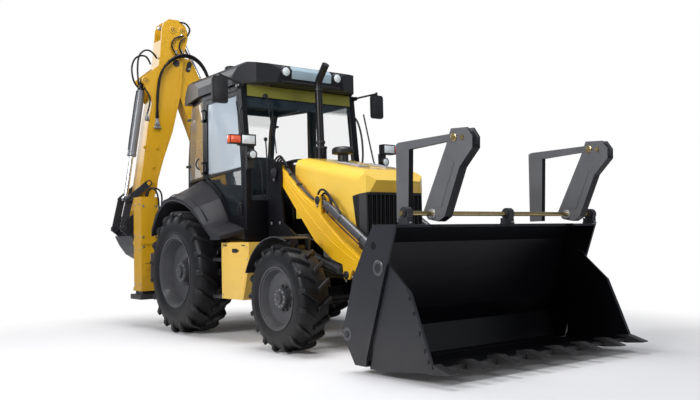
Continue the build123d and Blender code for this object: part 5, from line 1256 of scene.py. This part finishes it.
# ---- Cab fittings ------------------------------------------------------------------------------------------
# Black steel frame with bolted hinges for the opening rear quarters, a parallel wiper on the windscreen, grab
# rails and pull handles on the doors.
dress(["cab_frame", "door_left", "door_right"], black_paint)
trim = bmesh.new()
for side in (1, -1):
    for station, z in ((-0.470, 2.520), (-0.520, 1.950)):
        y = side * 0.600
        block(trim, at(station - 0.050, y - side * 0.004, z - 0.014),
              at(station + 0.060, y + side * 0.030, z + 0.014), 0.004)
    tube(trim, on_side(side, (0.070, 0.762, 1.860), (0.060, 0.800, 1.880), (0.060, 0.805, 1.960),
                       (0.070, 0.768, 1.985)), 0.009)
    tube(trim, on_side(side, (1.135, 0.772, 1.860), (1.150, 0.800, 1.900), (1.140, 0.802, 2.200),
                       (1.070, 0.790, 2.420), (1.062, 0.760, 2.440)), 0.012)
    block(trim, at(-0.440, side * 0.560, 2.640), at(0.150, side * 0.600, 2.662), 0.004)
finish("cab_hinges_and_rails", trim, "machine", "black_plastic", black_plastic)
wiper = bmesh.new()
turned(wiper, at(1.052, -0.470, 2.580), (0.99, 0, 0.11), [(0, 0.030), (0.030, 0.026), (0.038, 0.018)],
       sides=20)
tube(wiper, [at(1.090, -0.470, 2.580), at(1.118, -0.450, 2.400), at(1.134, -0.420, 2.150)], 0.006)
tube(wiper, [at(1.078, -0.455, 2.540), at(1.108, -0.430, 2.330), at(1.130, -0.395, 2.160)], 0.004)
plate(wiper, [(-0.424, 2.420), (-0.416, 2.420), (-0.372, 1.960), (-0.380, 1.960)], "x", 1.120, 1.132, 0.001)
finish("wiper", wiper, "machine", "black_plastic", black_plastic)
cap = bmesh.new()
turned(cap, at(0.470, -0.560, 2.962), (0, 0, 1), [(0, 0.072), (0.038, 0.066), (0.050, 0.050), (0.053, 0.020)],
       sides=32)
finish("roof_vent_cap", cap, "machine", "roof", roof_plastic)
for side, name in both_sides:
    handle = bmesh.new()
    y = side * 0.760
    block(handle, at(1.000, y, 1.300), at(1.045, y + side * 0.010, 1.430), 0.004)
    tube(handle, [at(1.022, y + side * 0.008, 1.315), at(1.022, y + side * 0.040, 1.335),
                  at(1.022, y + side * 0.040, 1.395), at(1.022, y + side * 0.008, 1.415)], 0.008)
    turned(handle, at(1.022, y + side * 0.008, 1.450), (0, side, 0), [(0, 0.012), (0.008, 0.011)], sides=16)
    plate(handle, [(0.226, 1.775), (1.060, 1.812), (1.060, 1.782), (0.226, 1.745)], "y",
          y - side * 0.034, y - side * 0.004, 0.002)
    finish(f"door_fittings_{name}", handle, f"door_{name}", "black_plastic", black_plastic)

# ---- Seat --------------------------------------------------------------------------------------------------
# A sprung driver's seat on a moulded base: a foam cushion and a tall backrest in woven black cloth, swelled
# by their stuffing.
fabric = finish_of("seat weave", (0.006, 0.008, 0.012), (0.014, 0.017, 0.024), 0.85, grain=600.0,
                   depth=0.0008, dust_amount=0.05)
dress(["seat"], fabric)


def stuffed(name, low, high, lean, swell):
    """A cushion: a slightly small block of foam, remeshed and swelled a little by pressure."""
    foam = bmesh.new()
    block(foam, [a + 0.014 for a in low], [b - 0.014 for b in high], 0.030)
    middle = (low[2] + high[2]) / 2
    for vert in foam.verts:
        vert.co.x += lean * (vert.co.z - middle)
    mesh = bpy.data.meshes.new(name)
    foam.to_mesh(mesh)
    foam.free()
    piece = bpy.data.objects.new(name, mesh)
    scene.collection.objects.link(piece)
    fine = piece.modifiers.new("fine", "REMESH")
    fine.mode, fine.voxel_size = "VOXEL", 0.012
    piece.data = applied(piece)
    start = [vert.co.copy() for vert in piece.data.vertices]
    cloth = piece.modifiers.new("stuffing", "CLOTH")
    cloth.settings.use_pressure, cloth.settings.uniform_pressure_force = True, 4.0
    cloth.settings.effector_weights.gravity = 0.0
    cloth.settings.quality = 4
    for number in range(1, 15):
        scene.frame_set(number)
    swelled = applied(piece)
    scene.frame_set(1)
    for vert, place in zip(swelled.vertices, start):
        move = vert.co - place
        if move.length > swell:
            vert.co = place + move.normalized() * swell
    piece.data = swelled
    piece.data.materials.clear()
    piece.data.materials.append(fabric)
    piece.data.polygons.foreach_set("use_smooth", [True] * len(piece.data.polygons))
    return piece


swell = 0.012
cushion = stuffed("seat_cushion", at(0.150, -0.250, 1.440), at(0.640, 0.250, 1.560), 0.0, swell)
backrest = stuffed("seat_backrest", at(0.100, -0.225, 1.575), at(0.210, 0.225, 2.060), -0.090, swell)
for piece in (cushion, backrest):
    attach(piece, "machine")
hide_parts("seat")
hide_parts("seat")

# ---- Controls ----------------------------------------------------------------------------------------------
# A moulded console and steering column, and bent steel levers with round knobs. The wheel has a moulded grip
# over its steel rim and a cap over its nut.
dress(["controls"], black_plastic)
levers = bmesh.new()
for y, station, top in ((-0.330, 0.860, 2.140), (-0.300, 0.700, 1.900), (0.300, 0.700, 1.900),
                        (-0.360, 0.560, 1.780)):
    tube(levers, [at(station, y, 1.500), at(station + 0.010, y, (1.500 + top) / 2),
                  at(station - 0.030, y, top)], 0.008)
    turned(levers, at(station - 0.030, y, top - 0.010), (0, 0, 1),
           [(0, 0.012), (0.010, 0.020), (0.026, 0.022), (0.040, 0.015), (0.044, 0)], sides=16)
finish("levers", levers, "machine", "black_plastic", black_plastic)
rim_line = bmesh.new()
middle, tilt, wheel_radius = at(0.893, 0, 1.850), Vector((-0.35, 0, 1)).normalized(), 0.182
across = Vector((0, 1, 0))
forward = tilt.cross(across)
points = [middle + wheel_radius * (across * math.cos(a) + forward * math.sin(a))
          for a in (2 * math.pi * n / 24 for n in range(25))]
tube(rim_line, points, 0.016)
turned(rim_line, middle - tilt * 0.02, tilt, [(0, 0.045), (0.030, 0.040), (0.038, 0.020)], sides=24)
finish("steering_wheel_grip", rim_line, "machine", "black_plastic", black_plastic)

# ---- Undercarriage -----------------------------------------------------------------------------------------
# Black painted frame rails and axles, with the engine's ribbed castings between them. Rings of bolts close
# the axles' housings.
dress(["chassis_frame", "axles"], black_paint)
casting_paint = finish_of("painted casting", (0.10, 0.10, 0.095), (0.06, 0.06, 0.06), 0.55, depth=0.001)
dress(["engine_block"], casting_paint)
fins = bmesh.new()
low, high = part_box("engine_block")
for n in range(7):
    z = low.z + 0.10 + n * 0.070
    for side in (1, -1):
        block(fins, (low.x + 0.03, side * 0.229, z), (high.x - 0.03, side * 0.240, z + 0.012), 0.002)
finish("engine_ribs", fins, "machine", "engine", casting_paint)
axle_bolts = []
for side in (1, -1):
    axle_bolts += ring_of_places(at(0, side * 0.190, 0.690), (0, side, 0), 0.165, 12)
axle_bolts += ring_of_places(at(front_axle, 0.220, front_hub), (0, 1, 0), 0.125, 10)
axle_bolts += ring_of_places(at(front_axle, -0.020, front_hub), (0, -1, 0), 0.125, 10)
bolts("axle_housing_bolts", "machine", "zinc", axle_bolts, 0.010, 0.008, black_bolt)
